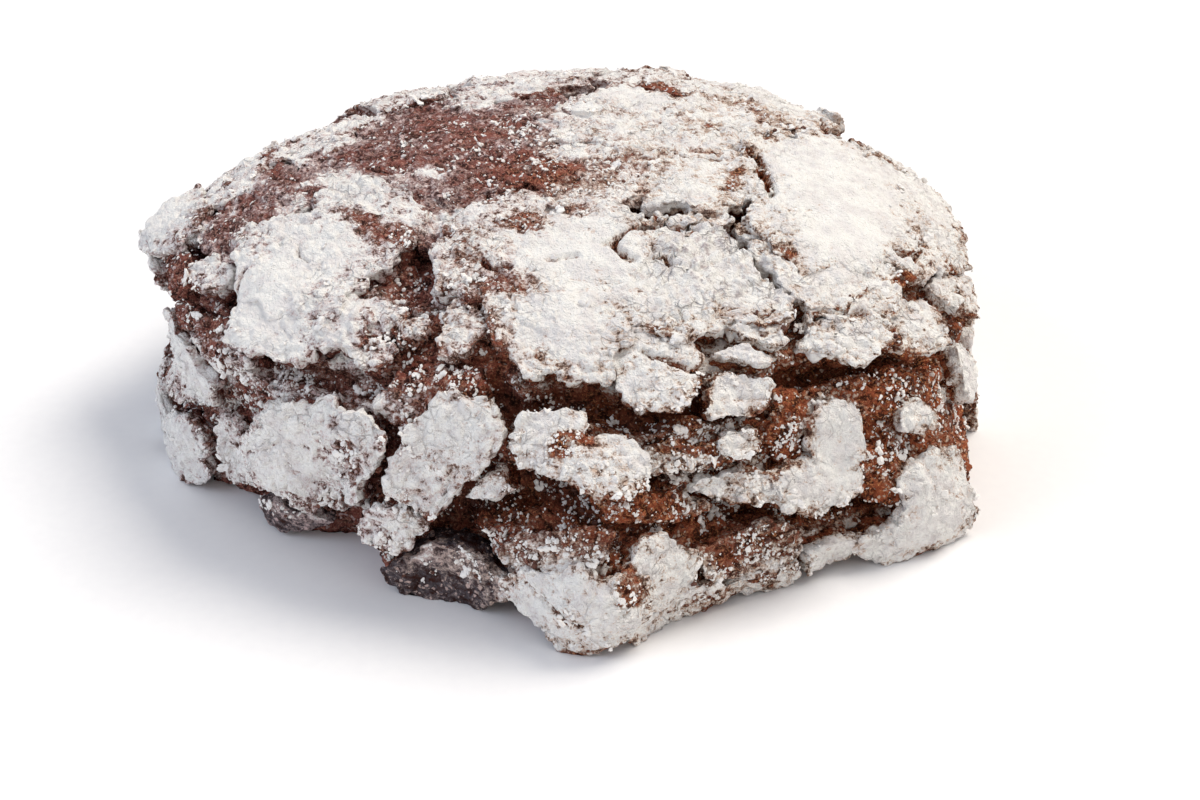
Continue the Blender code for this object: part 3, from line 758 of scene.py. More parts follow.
CROWN, TOP = Region.CROWN, Region.CAP_TOP
LEFT, MIDDLE, RIGHT = Region.CAP_LEFT, Region.CAP_MIDDLE, Region.CAP_RIGHT
LOW_LEFT, LOW_RIGHT = Region.RING_LEFT, Region.RING_RIGHT
SUGARED, BARE, CRUMB = Kind.SUGARED, Kind.BARE, Kind.CRUMB
FRONT_FLAKES = rows_of(
    Flake,
    # the cap, left of the middle
    (LEFT, "left_cap crown", -54, 17, 7.4, 4.6, -5, 0.45, 0.2),
    (LEFT, "left_cap", -48, 11, 4.6, 3.3, 0, 0.5, 0.6),
    (LEFT, "left_cap crown", -48, 23, 4.8, 4.0, 50, 0.3, 0.0),
    (LEFT, "left_lumps", -30, 12, 2.0, 1.5, 20, 0.0, 0.2),
    (LEFT, "left_lumps", -25, 16, 2.3, 1.2, 30, -0.1, 0.2),
    (LEFT, "left_cap crown", -59, 30, 5.6, 3.3, 10, 0.0, 0.0),
    (LEFT, "left_edge crown", -67, 11, 2.5, 1.6, 20, 0.1, 0.2),
    (CROWN, "crown", -91, 8, 6.5, 4.0, 20, 0.35, 0.2),
    (LEFT, "crown left_upper", -92, 2, 4.6, 3.0, 0, 0.1, 0.0),
    (CROWN, "crown", -105, 18, 6.5, 3.4, -30, -0.1, 0.0),
    (CROWN, "crown", -120, 26, 6.0, 3.2, -20, -0.2, 0.0),
    (CROWN, "crown upper_middle", -155, 36, 8.5, 3.6, -10, -0.1, 0.0),
    (LEFT, "crown", -81, 18, 6.5, 5.0, -10, -0.3, 0.0, BARE),
    (CROWN, "crown", -87, 38, 10.0, 7.5, -65, -0.3, 0.0, BARE),
    (CROWN, "crown", -95, 62, 11.0, 8.0, -20, -0.2, 0.0, BARE),
    (LEFT, "crown", -44, 39, 6.0, 4.0, -30, -0.4, 0.0, BARE),
    (CROWN, "crown", -128, 38, 7.0, 5.0, -10, -0.25, 0.0, BARE),
    (CROWN, "crown middle_cap upper_middle", -18, 56, 4.6, 3.6, 0, -0.35, 0.0, BARE),
    (LEFT, "crumb_shoulder", -78, 7, 4.2, 2.4, 0, -0.3, 0.0, CRUMB),
    # the cap, middle and right
    (MIDDLE, "middle_cap crown", -16, 31, 6.8, 5.2, 80, 0.3, 0.0),
    (MIDDLE, "middle_cap", -2, 21, 10.2, 5.4, -76, 0.5, 0.45),
    (MIDDLE, "middle_cap", -18, 17, 3.4, 2.2, 80, 0.0, 0.2),
    (MIDDLE, "middle_cap", 7, 32, 5.0, 5.0, 0, 0.35, 0.0),
    (MIDDLE, "middle_cap", 27, 22, 7.6, 6.4, 10, 0.4, 0.3),
    (MIDDLE, "middle_cap", 34, 18, 4.8, 3.0, -15, 0.4, 0.3),
    (MIDDLE, "middle_cap", 31, 14, 3.2, 2.2, -10, 0.3, 0.2),
    (MIDDLE, "middle_cap", 15, 12, 3.8, 3.6, -5, 0.55, 0.7),
    (MIDDLE, "middle_cap upper_middle", 20, 39, 1.5, 0.9, 20, 0.1, 0.2),
    (MIDDLE, "middle_cap upper_middle", 29, 38, 1.3, 0.8, 0, -0.1, 0.2),
    (MIDDLE, "middle_cap upper_middle", 37, 35, 1.6, 0.9, -15, 0.1, 0.2),
    (MIDDLE, "middle_cap upper_middle", 46, 32, 1.2, 0.9, 10, 0.0, 0.2),
    (MIDDLE, "middle_cap right_cap", 50, 27, 1.7, 1.2, -60, -0.1, 0.0),
    (MIDDLE, "middle_cap right_cap", 47, 22, 2.4, 1.7, -60, 0.1, 0.0),
    (MIDDLE, "upper_chip", 28, 12, 3.1, 1.6, -5, 0.5, 0.4),
    (MIDDLE, "lower_chip", 25, 8, 3.3, 2.3, 5, 0.3, 0.2),
    (TOP, "upper_middle right_cap", 59, 45, 7.0, 5.6, -45, 0.25, 0.25),
    (TOP, "upper_middle middle_cap crown", 20, 62, 6.5, 5.0, 65, 0.1, 0.2),
    (TOP, "upper_middle right_cap crown", 94, 44, 5.6, 5.0, 0, 0.15, 0.0),
    (TOP, "upper_middle crown", 130, 55, 8.0, 7.5, 60, 0.1, 0.0),
    (TOP, "upper_middle crown", 164, 63, 1.8, 1.1, 0, 0.5, 0.0),
    (RIGHT, "upper_middle right_cap", 122, 28, 8.5, 6.5, -80, 0.2, 0.0),
    (RIGHT, "upper_middle right_cap", 122, 15, 1.6, 1.2, 0, 0.5, 0.0),
    (RIGHT, "right_cap", 74, 22, 12.0, 8.0, 5, 0.6, 0.0),
    (RIGHT, "right_cap right_lobe", 49, 18, 5.0, 4.0, -30, 0.4, 0.2),
    (RIGHT, "right_cap right_lobe", 46, 11, 4.8, 3.4, -20, 0.5, 0.8),
    (RIGHT, "right_lobe", 56, 8, 4.4, 2.8, -20, 0.5, 0.9),
    (RIGHT, "right_cap right_lobe right_rim", 52, 14, 5.6, 3.0, -20, 0.45, 0.1),
    (RIGHT, "right_cap right_rim", 79, 11, 5.0, 4.0, -30, 0.5, 0.0),
    (RIGHT, "right_cap right_rim", 90, 12, 7.5, 4.6, 5, 0.5, 0.0),
    (RIGHT, "right_cap right_rim", 70, 13, 4.6, 2.8, -40, 0.4, 0.0),
    (RIGHT, "right_rim", 74, 5, 4.0, 2.2, -50, 0.1, 0.2),
    # the lower ring, left
    (LOW_LEFT, "left_flake", -66, 5, 5.0, 1.0, 20, -0.3, 0.4, BARE),
    (LOW_LEFT, "left_upper left_side", -69, -3, 7.2, 3.5, 12, 0.2, 0.4),
    (LOW_LEFT, "left_lower", -68, -16, 4.8, 3.2, 20, 0.3, 0.3),
    (LOW_LEFT, "front_left", -55, -12, 3.4, 2.4, 80, 0.2, 0.0),
    (LOW_LEFT, "front_left", -38, -5, 8.4, 4.8, 35, 0.7, 0.3),
    (LOW_LEFT, "left_slab", -14, 1, 5.2, 4.1, 45, 0.7, 0.5),
    (LOW_LEFT, "block", -22, -10, 4.2, 1.7, 12, 0.5, 0.1),
    (LOW_LEFT, "left_foot", -44, -18, 4.4, 1.7, 12, 0.2, 0.0, BARE),
    (LOW_LEFT, "middle_chips", -10, -2, 2.8, 0.9, 15, 0.2, 0.2),
    # the lower ring, middle and right
    (LOW_RIGHT, "diamond", -2, 5, 3.4, 2.4, 20, 0.8, 0.2),
    (LOW_RIGHT, "diamond", 4, 2, 4.3, 2.7, -15, 1.1, 0.7),
    (LOW_RIGHT, "boot", 38, -1, 3.1, 2.3, -75, 0.6, 0.1),
    (LOW_RIGHT, "boot", 34, -6, 4.0, 2.3, -5, 0.8, 0.5),
    (LOW_RIGHT, "boot", 24, -4, 4.0, 1.3, -12, 0.3, 0.3),
    (LOW_RIGHT, "small_chip", 24, 2, 1.9, 1.2, -10, 0.2, 0.2),
    (LOW_RIGHT, "right_chip", 51, -2, 2.0, 1.4, -20, 0.2, 0.2),
    (LOW_RIGHT, "right_edge", 66, -3, 2.8, 1.7, -75, 0.2, 0.2),
    (LOW_RIGHT, "right_foot", 52, -12, 4.6, 3.6, -60, 0.4, 0.0),
    (LOW_RIGHT, "right_foot", 47, -16, 4.8, 1.9, 0, 0.4, 0.0),
    (LOW_RIGHT, "right_foot", 36, -17, 3.8, 1.4, 0, 0.2, 0.0),
    # the pointed foot
    (LOW_RIGHT, "foot", 2, -13, 5.6, 3.2, -5, 0.5, 0.0),
    (LOW_RIGHT, "foot foot_dark", 12, -11, 3.4, 2.8, -20, 0.1, 0.0),
    (LOW_RIGHT, "foot", -1, -8, 5.0, 2.0, 5, -0.1, 0.0, BARE),
    (LOW_LEFT, "foot_side", -16, -17, 5.5, 2.8, 10, 0.1, 0.0, BARE),
    (LOW_RIGHT, "foot_dark", 25, -13, 5.5, 2.4, -15, 0.0, 0.0, BARE),
    (LOW_RIGHT, "foot_dark", 28, -18, 5.0, 1.4, -5, 0.1, 0.0),
    (LOW_RIGHT, "foot foot_dark", 14, -17, 5.4, 2.4, -5, 0.2, 0.0),
    # torn crumb that swelled up between the flakes
    (LOW_RIGHT, "crumb_ridge", 17, 1, 5.5, 1.4, -10, -0.3, 0.0, CRUMB),
    (LOW_RIGHT, "crumb_band", 48, 2, 9.5, 2.2, -15, -0.4, 0.0, CRUMB),
    (LOW_LEFT, "crumb_left", -58, 4, 5.0, 3.0, 15, -0.5, 0.0, CRUMB),
    (LOW_RIGHT, "crumb_low", 12, -4, 6.0, 1.4, -10, -0.4, 0.0, CRUMB),
    (LOW_RIGHT, "crumb_right", 33, 1, 4.0, 2.6, -80, -0.3, 0.0, CRUMB),
    (LOW_RIGHT, "crumb_corner", 46, -8, 4.6, 3.0, -40, -0.3, 0.0, CRUMB),
    (LOW_LEFT, "crumb_middle", -20, 8, 5.0, 3.0, 30, -0.6, 0.0, CRUMB),
    # the left-hand side, which the photo hides
    (LOW_LEFT, "left_side", -98, -8, 6.0, 4.0, 5, -0.2, 0.2),
    # small flakes that close gaps between large ones
    (LEFT, "left_cap left_lumps", -40, 14, 4.0, 2.8, 0, 0.3, 0.3),
    (LEFT, "left_lumps", -32, 16, 2.6, 1.9, 0, -0.1, 0.1),
    (LEFT, "crown left_edge left_cap", -70, 15, 3.0, 2.4, 0, -0.2, 0.0, BARE),
    (LEFT, "crown", -92, 15, 3.4, 2.8, 0, -0.1, 0.0),
    (LEFT, "crown", -101, 26, 3.6, 2.6, -25, -0.2, 0.0),
    (LEFT, "left_cap crown", -58, 22, 3.6, 3.0, 0, 0.2, 0.0),
    (MIDDLE, "middle_cap crown upper_middle", -6, 44, 4.2, 2.8, 0, 0.0, 0.0),
    (LOW_RIGHT, "right_foot", 50, -14, 4.0, 2.6, -50, 0.45, 0.0),
)


@dataclass(frozen=True)
class BackRow:
    """A row of flakes round the far side, from one bearing to the other."""

    rise: float
    first_bearing: float
    last_bearing: float
    count: int
    half_length: float
    half_width: float


BACK_ROWS = rows_of(
    BackRow,
    (-15, 94, 268, 8, 8.0, 5.6), (4, 114, 250, 6, 8.6, 6.0), (23, 150, 222, 3, 9.5, 7.0),
)


@dataclass(frozen=True)
class SectionPoint:
    """A point of a flake's section.

    polar is the angle on the ball that it is drawn from, 0 in the middle of the upper face,
    share its distance from the flake's middle as a share of the reach, and depth its distance
    below the upper face.
    """

    polar: float
    share: float
    depth: float


CRUST_SECTION = rows_of(
    SectionPoint,
    (0, 0.0, 0.0), (82, 0.93, 0.0), (92, 0.985, 0.08), (99, 1.0, 0.25), (110, 0.99, 0.8),
    (124, 0.92, 1.5), (138, 0.85, 2.4), (152, 0.82, 3.2), (180, 0.0, 3.4),
)
CRUMB_SECTION = rows_of(
    SectionPoint,
    (0, 0.0, 0.0), (84, 0.6, 0.15), (108, 0.85, 0.5), (130, 0.92, 1.6), (152, 0.95, 3.2),
    (180, 0.0, 3.4),
)


@dataclass
class Crust:
    """The sugared crust, cracked into flakes.

    Lengths are in millimetres, and each span is where a smooth rise begins and where it is
    complete.
    """

    form: OuterForm
    dusting: Dusting
    segments_per_mm: float = 5.5
    back_segments_per_mm: float = 3.4
    crack_gap: float = 0.8
    neighbour_reach: float = 1.25
    least_reach: float = 0.6
    outline_jitter: float = 0.26
    outline_scale: float = 2.2
    outline_points: int = 360
    least_facing: float = 0.05
    raggedness: float = 0.36
    ragged_scale: float = 1.5
    small_half_width: float = 2.6
    fewest_segments: int = 14
    most_segments: int = 54
    top_relief: float = 0.5
    top_scale: float = 4.5
    own_relief: float = 0.16
    own_scale: float = 2.6
    back_seed: int = 11
    back_stray: float = 6.0
    back_turn: float = 25.0
    back_curl: float = 0.5
    back_sizes: tuple[float, float] = (0.85, 1.15)
    back_lifts: tuple[float, float] = (-0.4, 0.3)
    fallen_amount: float = 0.36
    fallen_reach: float = 1.5
    fallen_drift: float = 2.4
    torn_scale: float = 0.9
    torn_reach: float = 0.35
    wall_span: tuple[float, float] = (0.1, 0.8)
    split_floor: float = 0.1
    table_gap: float = 0.02
    torn_edge: float = 0.28
    rim_span: tuple[float, float] = (0.7, 1.0)
    fray_scale: float = 3.0
    fray_span: tuple[float, float] = (-0.2, 0.35)
    # less sugar on the flakes' lower edges, which also paints shade there
    underside_thin_and_shade: float = 0.09
    lower_edge_span: tuple[float, float] = (0.3, 1.0)
    wall_loss: float = 0.8
    deep_span: tuple[float, float] = (0.7, 1.7)
    caught: float = 0.35
    split_loss: float = 0.8
    wall_cavity: float = 0.8
    cavity_span: tuple[float, float] = (1.3, 3.2)
    split_cavity: float = 0.5
    split_shade_span: tuple[float, float] = (0.3, 1.0)
    sugar_grain: Grain = Grain((1.1, 0.26), (1.5, 0.2), (1.0, 0.0), 51)
    crumb_grain: Grain = Grain((1.1, 0.22), (1.2, 0.2), (0.55, 0.6), 54)

    def __post_init__(self) -> None:
        """Works out the far side's flakes, the frames and the rims that sugar falls from."""
        self.flakes = list(FRONT_FLAKES) + self.back_flakes()
        self.frames = [
            self.form.frame(self.form.direction(flake.bearing, flake.rise)) for flake in self.flakes
        ]
        self.rims = kdtree.KDTree(self.outline_points * len(self.flakes))
        for number, (flake, spot) in enumerate(zip(self.flakes, self.frames)):
            if flake.kind is SUGARED:
                flat = self.outline(number)[::3]
                for place in self.form.points(spot.on_plane(flat) - self.form.centre):
                    self.rims.insert(place, number)
        self.rims.balance()

    def fallen(self, points: np.ndarray) -> np.ndarray:
        """Sugar that fell from the flakes' rims on to the crumb beside them.

        Args:
            points: places in millimetres, one a row.

        Returns:
            How much lies at each place.
        """
        away = np.array([self.rims.find(place)[2] for place in points.tolist()])
        uneven = np.clip(0.7 + 1.3 * lumpy(points, self.fallen_drift, 70), 0.0, 1.6)
        return self.fallen_amount * np.exp(-away / self.fallen_reach) * uneven

    def back_flakes(self) -> list[Flake]:
        """The flakes of the far side, row by row, each a little off its place and size.

        Returns:
            The flakes.
        """
        draw = random.Random(self.back_seed)
        flakes = []
        for row in BACK_ROWS:
            spacing = (row.last_bearing - row.first_bearing) / (row.count - 1)
            for number in range(row.count):
                stray = draw.uniform(-self.back_stray, self.back_stray)
                flakes.append(
                    Flake(
                        Region.BACK,
                        f"back_{len(flakes)}",
                        row.first_bearing + number * spacing + stray,
                        row.rise + draw.uniform(-self.back_stray, self.back_stray),
                        row.half_length * draw.uniform(*self.back_sizes),
                        row.half_width * draw.uniform(*self.back_sizes),
                        draw.uniform(-self.back_turn, self.back_turn),
                        draw.uniform(*self.back_lifts),
                        draw.uniform(0.0, self.back_curl),
                    )
                )
        return flakes

    def oval_reach(self, flake: Flake, angle: float) -> float:
        """Reach of the flake's oval, before any cracking.

        Args:
            flake: the flake.
            angle: the direction in its tangent plane, in radians.

        Returns:
            The reach in millimetres.
        """
        local = angle - math.radians(flake.turn)
        along, beside = math.cos(local) / flake.half_length, math.sin(local) / flake.half_width
        return 1.0 / math.hypot(along, beside)

    def crack_lines(self, number: int) -> list[tuple[float, float]]:
        """The straight cracks that part a flake from its neighbours.

        Args:
            number: the flake's place in the list.

        Returns:
            The angle and distance of each crack.
        """
        flake, spot = self.flakes[number], self.frames[number]
        if flake.kind is CRUMB:
            return []
        lines = []
        for other, its in zip(self.flakes, self.frames):
            if set(other.group.split()) & set(flake.group.split()) or other.kind is CRUMB:
                continue
            offset = its.point - spot.point
            angle = math.atan2(offset @ spot.upward, offset @ spot.level)
            its_angle = math.atan2(-(offset @ its.upward), -(offset @ its.level))
            own, theirs = self.oval_reach(flake, angle), self.oval_reach(other, its_angle)
            distance = float(np.linalg.norm(offset))
            if distance < (own + theirs) * self.neighbour_reach + self.crack_gap:
                lines.append((angle, distance * own / (own + theirs) - 0.5 * self.crack_gap))
        return lines

    def outline(self, number: int) -> np.ndarray:
        """The flake's broken outline.

        Args:
            number: the flake's place in the list.

        Returns:
            Points in its tangent plane, at even steps round it.
        """
        flake = self.flakes[number]
        step = np.linspace(0.0, 2.0 * math.pi, self.outline_points, endpoint=False)
        across, along = flake.half_length * np.cos(step), flake.half_width * np.sin(step)
        angle = np.arctan2(along, across) + math.radians(flake.turn)
        reach = np.hypot(across, along)
        for crack_angle, distance in self.crack_lines(number):
            facing = np.cos(angle - crack_angle)
            limit = max(distance, self.least_reach) / np.maximum(facing, self.least_facing)
            reach = np.where(facing > self.least_facing, np.minimum(reach, limit), reach)
        ring = np.stack((np.cos(angle), np.sin(angle), np.zeros_like(angle)), 1)
        notch = ring * reach[:, None]
        reach *= 1.0 + self.outline_jitter * lumpy(notch, self.outline_scale, number)
        ragged = self.raggedness * min(1.0, flake.half_width / self.small_half_width)
        reach += ragged * layered(notch, self.ragged_scale, 40 + number, 6)
        return ring[:, :2] * np.maximum(reach, self.least_reach)[:, None]

    def mesh(self, number: int) -> tuple[bpy.types.Mesh, np.ndarray, np.ndarray, np.ndarray]:
        """Makes one flake: a ball drawn out through its section and bent on to the bun.

        Args:
            number: the flake's place in the list.

        Returns:
            The mesh in metres, and at each vertex how much sugar lies there, how much painted
            shade darkens it in a crack or down its wall, and how rough its coat is.
        """
        flake, spot = self.flakes[number], self.frames[number]
        fine = self.back_segments_per_mm if flake.region is Region.BACK else self.segments_per_mm
        segments = round(max(flake.half_length, flake.half_width) * fine)
        mesh = ball_mesh(min(max(segments, self.fewest_segments), self.most_segments)).copy()
        ball = coordinates(mesh)
        polar = np.degrees(np.arccos(np.clip(ball[:, 2], -1.0, 1.0)))
        section = CRUMB_SECTION if flake.kind is CRUMB else CRUST_SECTION
        polars = [at.polar for at in section]
        share = np.interp(polar, polars, [at.share for at in section])
        depth = np.interp(polar, polars, [at.depth for at in section])
        step = np.arctan2(ball[:, 1], ball[:, 0]) % (2.0 * math.pi)
        corners = self.outline(number)
        corners = np.concatenate((corners, corners[:1]))
        steps = np.linspace(0.0, 2.0 * math.pi, len(corners))
        flat = np.stack([np.interp(step, steps, corners[:, axis]) for axis in range(2)], 1)
        flat *= share[:, None]
        surface = self.form.frame(spot.on_plane(flat) - self.form.centre)
        local = surface.point - self.form.centre
        height = flake.lift - depth - flake.curl * flat[:, 1] / flake.half_width
        height += self.top_relief * lumpy(local, self.top_scale, 2)
        height += self.own_relief * lumpy(local, self.own_scale, 50 + number)
        places = surface.point + surface.normal * height[:, None]
        move_vertices(mesh, places)
        normals = vertex_normals(mesh)
        sugar, relief = self.dusting.at(surface.point, flake.kind.value)
        torn = stirred(places, self.torn_scale, 60, self.torn_reach)
        wall = smoothstep(*self.wall_span, depth)
        if flake.kind is SUGARED:
            shares = (relief * (1.0 + 0.2 * wall), (0.4 + 0.6 * relief) * (1.0 + wall), 0.0)
            detail = self.sugar_grain.at(places, torn, shares)
        else:
            detail = self.crumb_grain.at(places, torn, (relief, 0.5 + 0.5 * relief, relief))
        split = crack_profile(self.form, SPLITS, surface.point + torn, self.split_floor)
        split *= 1.0 - wall
        places = places + normals * (detail - split)[:, None]
        places[:, 2] = np.maximum(places[:, 2], self.table_gap)
        move_vertices(mesh, places * MM)
        if flake.kind is SUGARED:
            frayed = smoothstep(*self.fray_span, lumpy(places, self.fray_scale, 57))
            sugar -= self.torn_edge * (smoothstep(*self.rim_span, share) * frayed)
            # less sugar on each flake's lower edge, where less of it falls, which also paints the
            # shade under the edge
            under = smoothstep(*self.lower_edge_span, -flat[:, 1] / flake.half_width)
            sugar -= self.underside_thin_and_shade * under
        else:
            sugar += self.fallen(surface.point)
        left = 1.0 - self.wall_loss * smoothstep(*self.deep_span, depth)
        sugar = sugar * left + self.caught * detail - self.split_loss * split
        # painted shade: the crumb is darkened deep down a flake's wall and in fine splits
        cavity = self.wall_cavity * smoothstep(*self.cavity_span, depth)
        cavity += self.split_cavity * smoothstep(*self.split_shade_span, split)
        return mesh, np.clip(sugar, 0.0, 1.0), np.clip(cavity, 0.0, 1.0), relief

    def worn(self, flake: Flake) -> float:
        """How far a flake's sugar is rubbed thin.

        Args:
            flake: the flake.

        Returns:
            1 where it is rubbed all over, as at the crown, and 0 where it isn't rubbed.
        """
        words = flake.group.split()
        if flake.kind is BARE:
            # the foot's side and the left foot count as fully worn so that they take the darker
            # worn film and the painted low shade
            return 1.0 if words[0] in ("crown", "foot_side", "left_foot") else 0.2
        return 0.5 if "upper_middle" in words else 0.0

    def build(self, region: Region, finish: bpy.types.Material) -> bpy.types.Object:
        """Makes the flakes of one region as one piece.

        Args:
            region: which part of the crust.
            finish: the crust's material.

        Returns:
            The piece.
        """
        maker, values = bmesh.new(), []
        for number, flake in enumerate(self.flakes):
            if flake.region is region:
                mesh, *numbers = self.mesh(number)
                maker.from_mesh(mesh)
                bpy.data.meshes.remove(mesh)
                values.append((*numbers, np.full(len(numbers[0]), self.worn(flake))))
        found = dict(zip(("sugar", "cavity", "rough", "worn"), map(np.concatenate, zip(*values))))
        return dressed(mesh_of(maker, region.value), finish, **found)


# ---------------------------------------------------------------- loose sugar and crumbs
BIT_CORNERS = 12  # vertices of the least icosphere, which each bit is made from
CHUNK = 200  # bits that are made together
LIKES_AT = (0.0, 0.45, 0.75, 1.0)  # the amounts of sugar that a litter's likes are given for


@dataclass(frozen=True)
class Litter:
    """One kind of loose bit, strewn over the bun.

    cluster is how many bits lie together, and likes the chance that a bit stays, from bare crumb
    to thick sugar. on_worn is what is left of that chance on worn crust.
    """

    name: str
    count: int
    cluster: tuple[int, int]
    radii: tuple[float, float]
    flatness: float
    seed: int
    likes: tuple[float, float, float, float]
    on_worn: float
    sunk: float = 0.25
    spread: float = 1.1
    uneven: float = 0.4
    drift: float = 2.6
    spans: tuple[float, float] = (33.0, 13.0)
    dome_rise: float = 0.6
    lowest: float = 18.0
    start: float = 6.0
    floor_gap: float = 0.6
    tries: int = 12
    mostly_small: float = 2.5
    widths: tuple[float, float] = (0.7, 1.3)

    def rays(self, form: OuterForm, draw: random.Random) -> tuple[Vector, Vector]:
        """A line along which one bit drops on to the bun, at a random place.

        Args:
            form: the bun's smooth form.
            draw: the random numbers.

        Returns:
            A start outside the bun, in metres, and the direction to the bun.
        """
        dome, wall = self.spans
        bearing = draw.uniform(-180.0, 180.0)
        out = math.sqrt(draw.random()) * (dome + wall)
        rise = math.degrees(math.atan2(max(dome - out, 0.0) * self.dome_rise, min(out, dome)))
        if out > dome:
            rise = -(out - dome) / wall * self.lowest
        spot = form.frame(form.direction(bearing, rise))
        start = Vector(spot.point + spot.normal * self.start) * MM
        return start, -Vector(spot.normal)

    def build(self, form: OuterForm, finish: bpy.types.Material) -> bpy.types.Object:
        """Drops the bits on to what is there already.

        Args:
            form: the bun's smooth form, which the bits are dropped towards.
            finish: their material.

        Returns:
            All the bits as one piece.
        """
        draw = random.Random(self.seed)
        graph = bpy.context.evaluated_depsgraph_get()
        whole, part, placed = bmesh.new(), bmesh.new(), 0
        for _ in range(self.count * self.tries):
            if placed == self.count:
                break
            start, heading = self.rays(form, draw)
            hit, place, normal, face, struck, _ = bpy.context.scene.ray_cast(graph, start, heading)
            if not hit or place.z < self.floor_gap * MM or "sugar" not in struck.data.attributes:
                continue
            corner = struck.data.polygons[face].vertices[0]
            stored = struck.data.attributes
            sugar, worn = (stored[key].data[corner].value for key in ("sugar", "worn"))
            chance = np.interp(sugar, LIKES_AT, self.likes)
            chance *= 1.0 + (self.on_worn - 1.0) * worn
            chance *= min(max(0.6 + 2.4 * noise.noise(place / (self.drift * MM)), 0.12), 1.5)
            if draw.random() > chance:
                continue
            least, most = self.radii
            radius = least + (most - least) * draw.random() ** self.mostly_small
            seat = Matrix.Translation(place) @ normal.to_track_quat("Z", "Y").to_matrix().to_4x4()
            for _ in range(draw.randint(*self.cluster)):
                self.add_bit(part, seat, radius * draw.uniform(0.6, 1.0), draw)
            placed += 1
            if placed % CHUNK == 0 or placed == self.count:
                chunk = bpy.data.meshes.new("chunk")
                part.to_mesh(chunk)
                whole.from_mesh(chunk)
                part.clear()
                bpy.data.meshes.remove(chunk)
        mesh = mesh_of(whole, self.name)
        part.free()
        self.roughen(mesh, draw)
        mesh.materials.append(finish)
        return bpy.data.objects.new(self.name, mesh)

    def add_bit(
        self, maker: bmesh.types.BMesh, seat: Matrix, radius: float, draw: random.Random
    ) -> None:
        """Adds one angular bit.

        Args:
            maker: where it is added.
            seat: the place that its cluster lies on.
            radius: in millimetres.
            draw: the random numbers.
        """
        beside = (0.0, 0.0) if self.cluster[1] == 1 else (draw.gauss(0, 1), draw.gauss(0, 1))
        aside = self.spread * radius
        height = radius * (self.flatness - self.sunk)
        rest = Matrix.Translation(Vector((beside[0] * aside, beside[1] * aside, height)) * MM)
        spin = Euler((draw.uniform(-0.5, 0.5), draw.uniform(-0.5, 0.5), draw.uniform(0, 6.3)))
        widths = (draw.uniform(*self.widths), draw.uniform(*self.widths))
        shape = Matrix.Diagonal((*widths, self.flatness, 1.0))
        place = seat @ rest @ spin.to_matrix().to_4x4() @ shape
        bmesh.ops.create_icosphere(maker, subdivisions=1, radius=radius * MM, matrix=place)

    def roughen(self, mesh: bpy.types.Mesh, draw: random.Random) -> None:
        """Makes every bit uneven in its own way.

        Args:
            mesh: all the bits.
            draw: the random numbers.
        """
        chosen = np.random.default_rng(draw.randrange(10**6))
        bits = coordinates(mesh).reshape(-1, BIT_CORNERS, 3)
        middles = bits.mean(axis=1, keepdims=True)
        uneven = 1.0 + chosen.uniform(-self.uneven, self.uneven, (len(bits), BIT_CORNERS, 1))
        move_vertices(mesh, (middles + (bits - middles) * uneven).reshape(-1, 3))


SUGAR_HEAPS = rows_of(
    Litter,
    ("sugar_clumps", 1600, (4, 7), (0.1, 0.34), 0.55, 3, (0.3, 1.0, 0.25, 0.04), 0.2),
    ("sugar_crumbs", 3600, (2, 3), (0.09, 0.22), 0.6, 4, (0.7, 1.0, 0.15, 0.03), 0.35),
    ("sugar_grains", 9500, (1, 1), (0.06, 0.2), 0.6, 5, (0.7, 1.0, 0.35, 0.1), 0.25),
)
CRUMB_HEAP = Litter("baked_crumbs", 1200, (1, 1), (0.1, 0.28), 0.8, 7, (1.0, 0.15, 0.0, 0.0), 0.5)


# ---------------------------------------------------------------- finishes
def linear(colour: str) -> tuple[float, float, float, float]:
    """Changes an sRGB hex colour to linear light.

    Args:
        colour: the colour, such as "#F4F1EA".

    Returns:
        Red, green, blue and alpha.
    """
    parts = [int(colour[at : at + 2], 16) / 255.0 for at in (1, 3, 5)]
    return (*(c / 12.92 if c <= 0.04045 else ((c + 0.055) / 1.055) ** 2.4 for c in parts), 1.0)


def per_mm(size: float) -> float:
    """Scale of a pattern whose features are this many millimetres, on coordinates in metres."""
    return 1.0 / (size * MM)


def add_node(
    tree: bpy.types.NodeTree, kind: str, inputs: dict | None = None, **settings: object
) -> bpy.types.Node:
    """Adds a node.

    Args:
        tree: the material's node tree.
        kind: the node's type.
        inputs: by socket name or number, a value or the output socket that feeds it.
        settings: the node's own options.

    Returns:
        The node.
    """
    node = tree.nodes.new(kind)
    for name, value in settings.items():
        setattr(node, name, value)
    for key, value in (inputs or {}).items():
        if isinstance(value, bpy.types.NodeSocket):
            tree.links.new(value, node.inputs[key])
        else:
            node.inputs[key].default_value = value
    return node


Socket = bpy.types.NodeSocket
Number = Socket | float


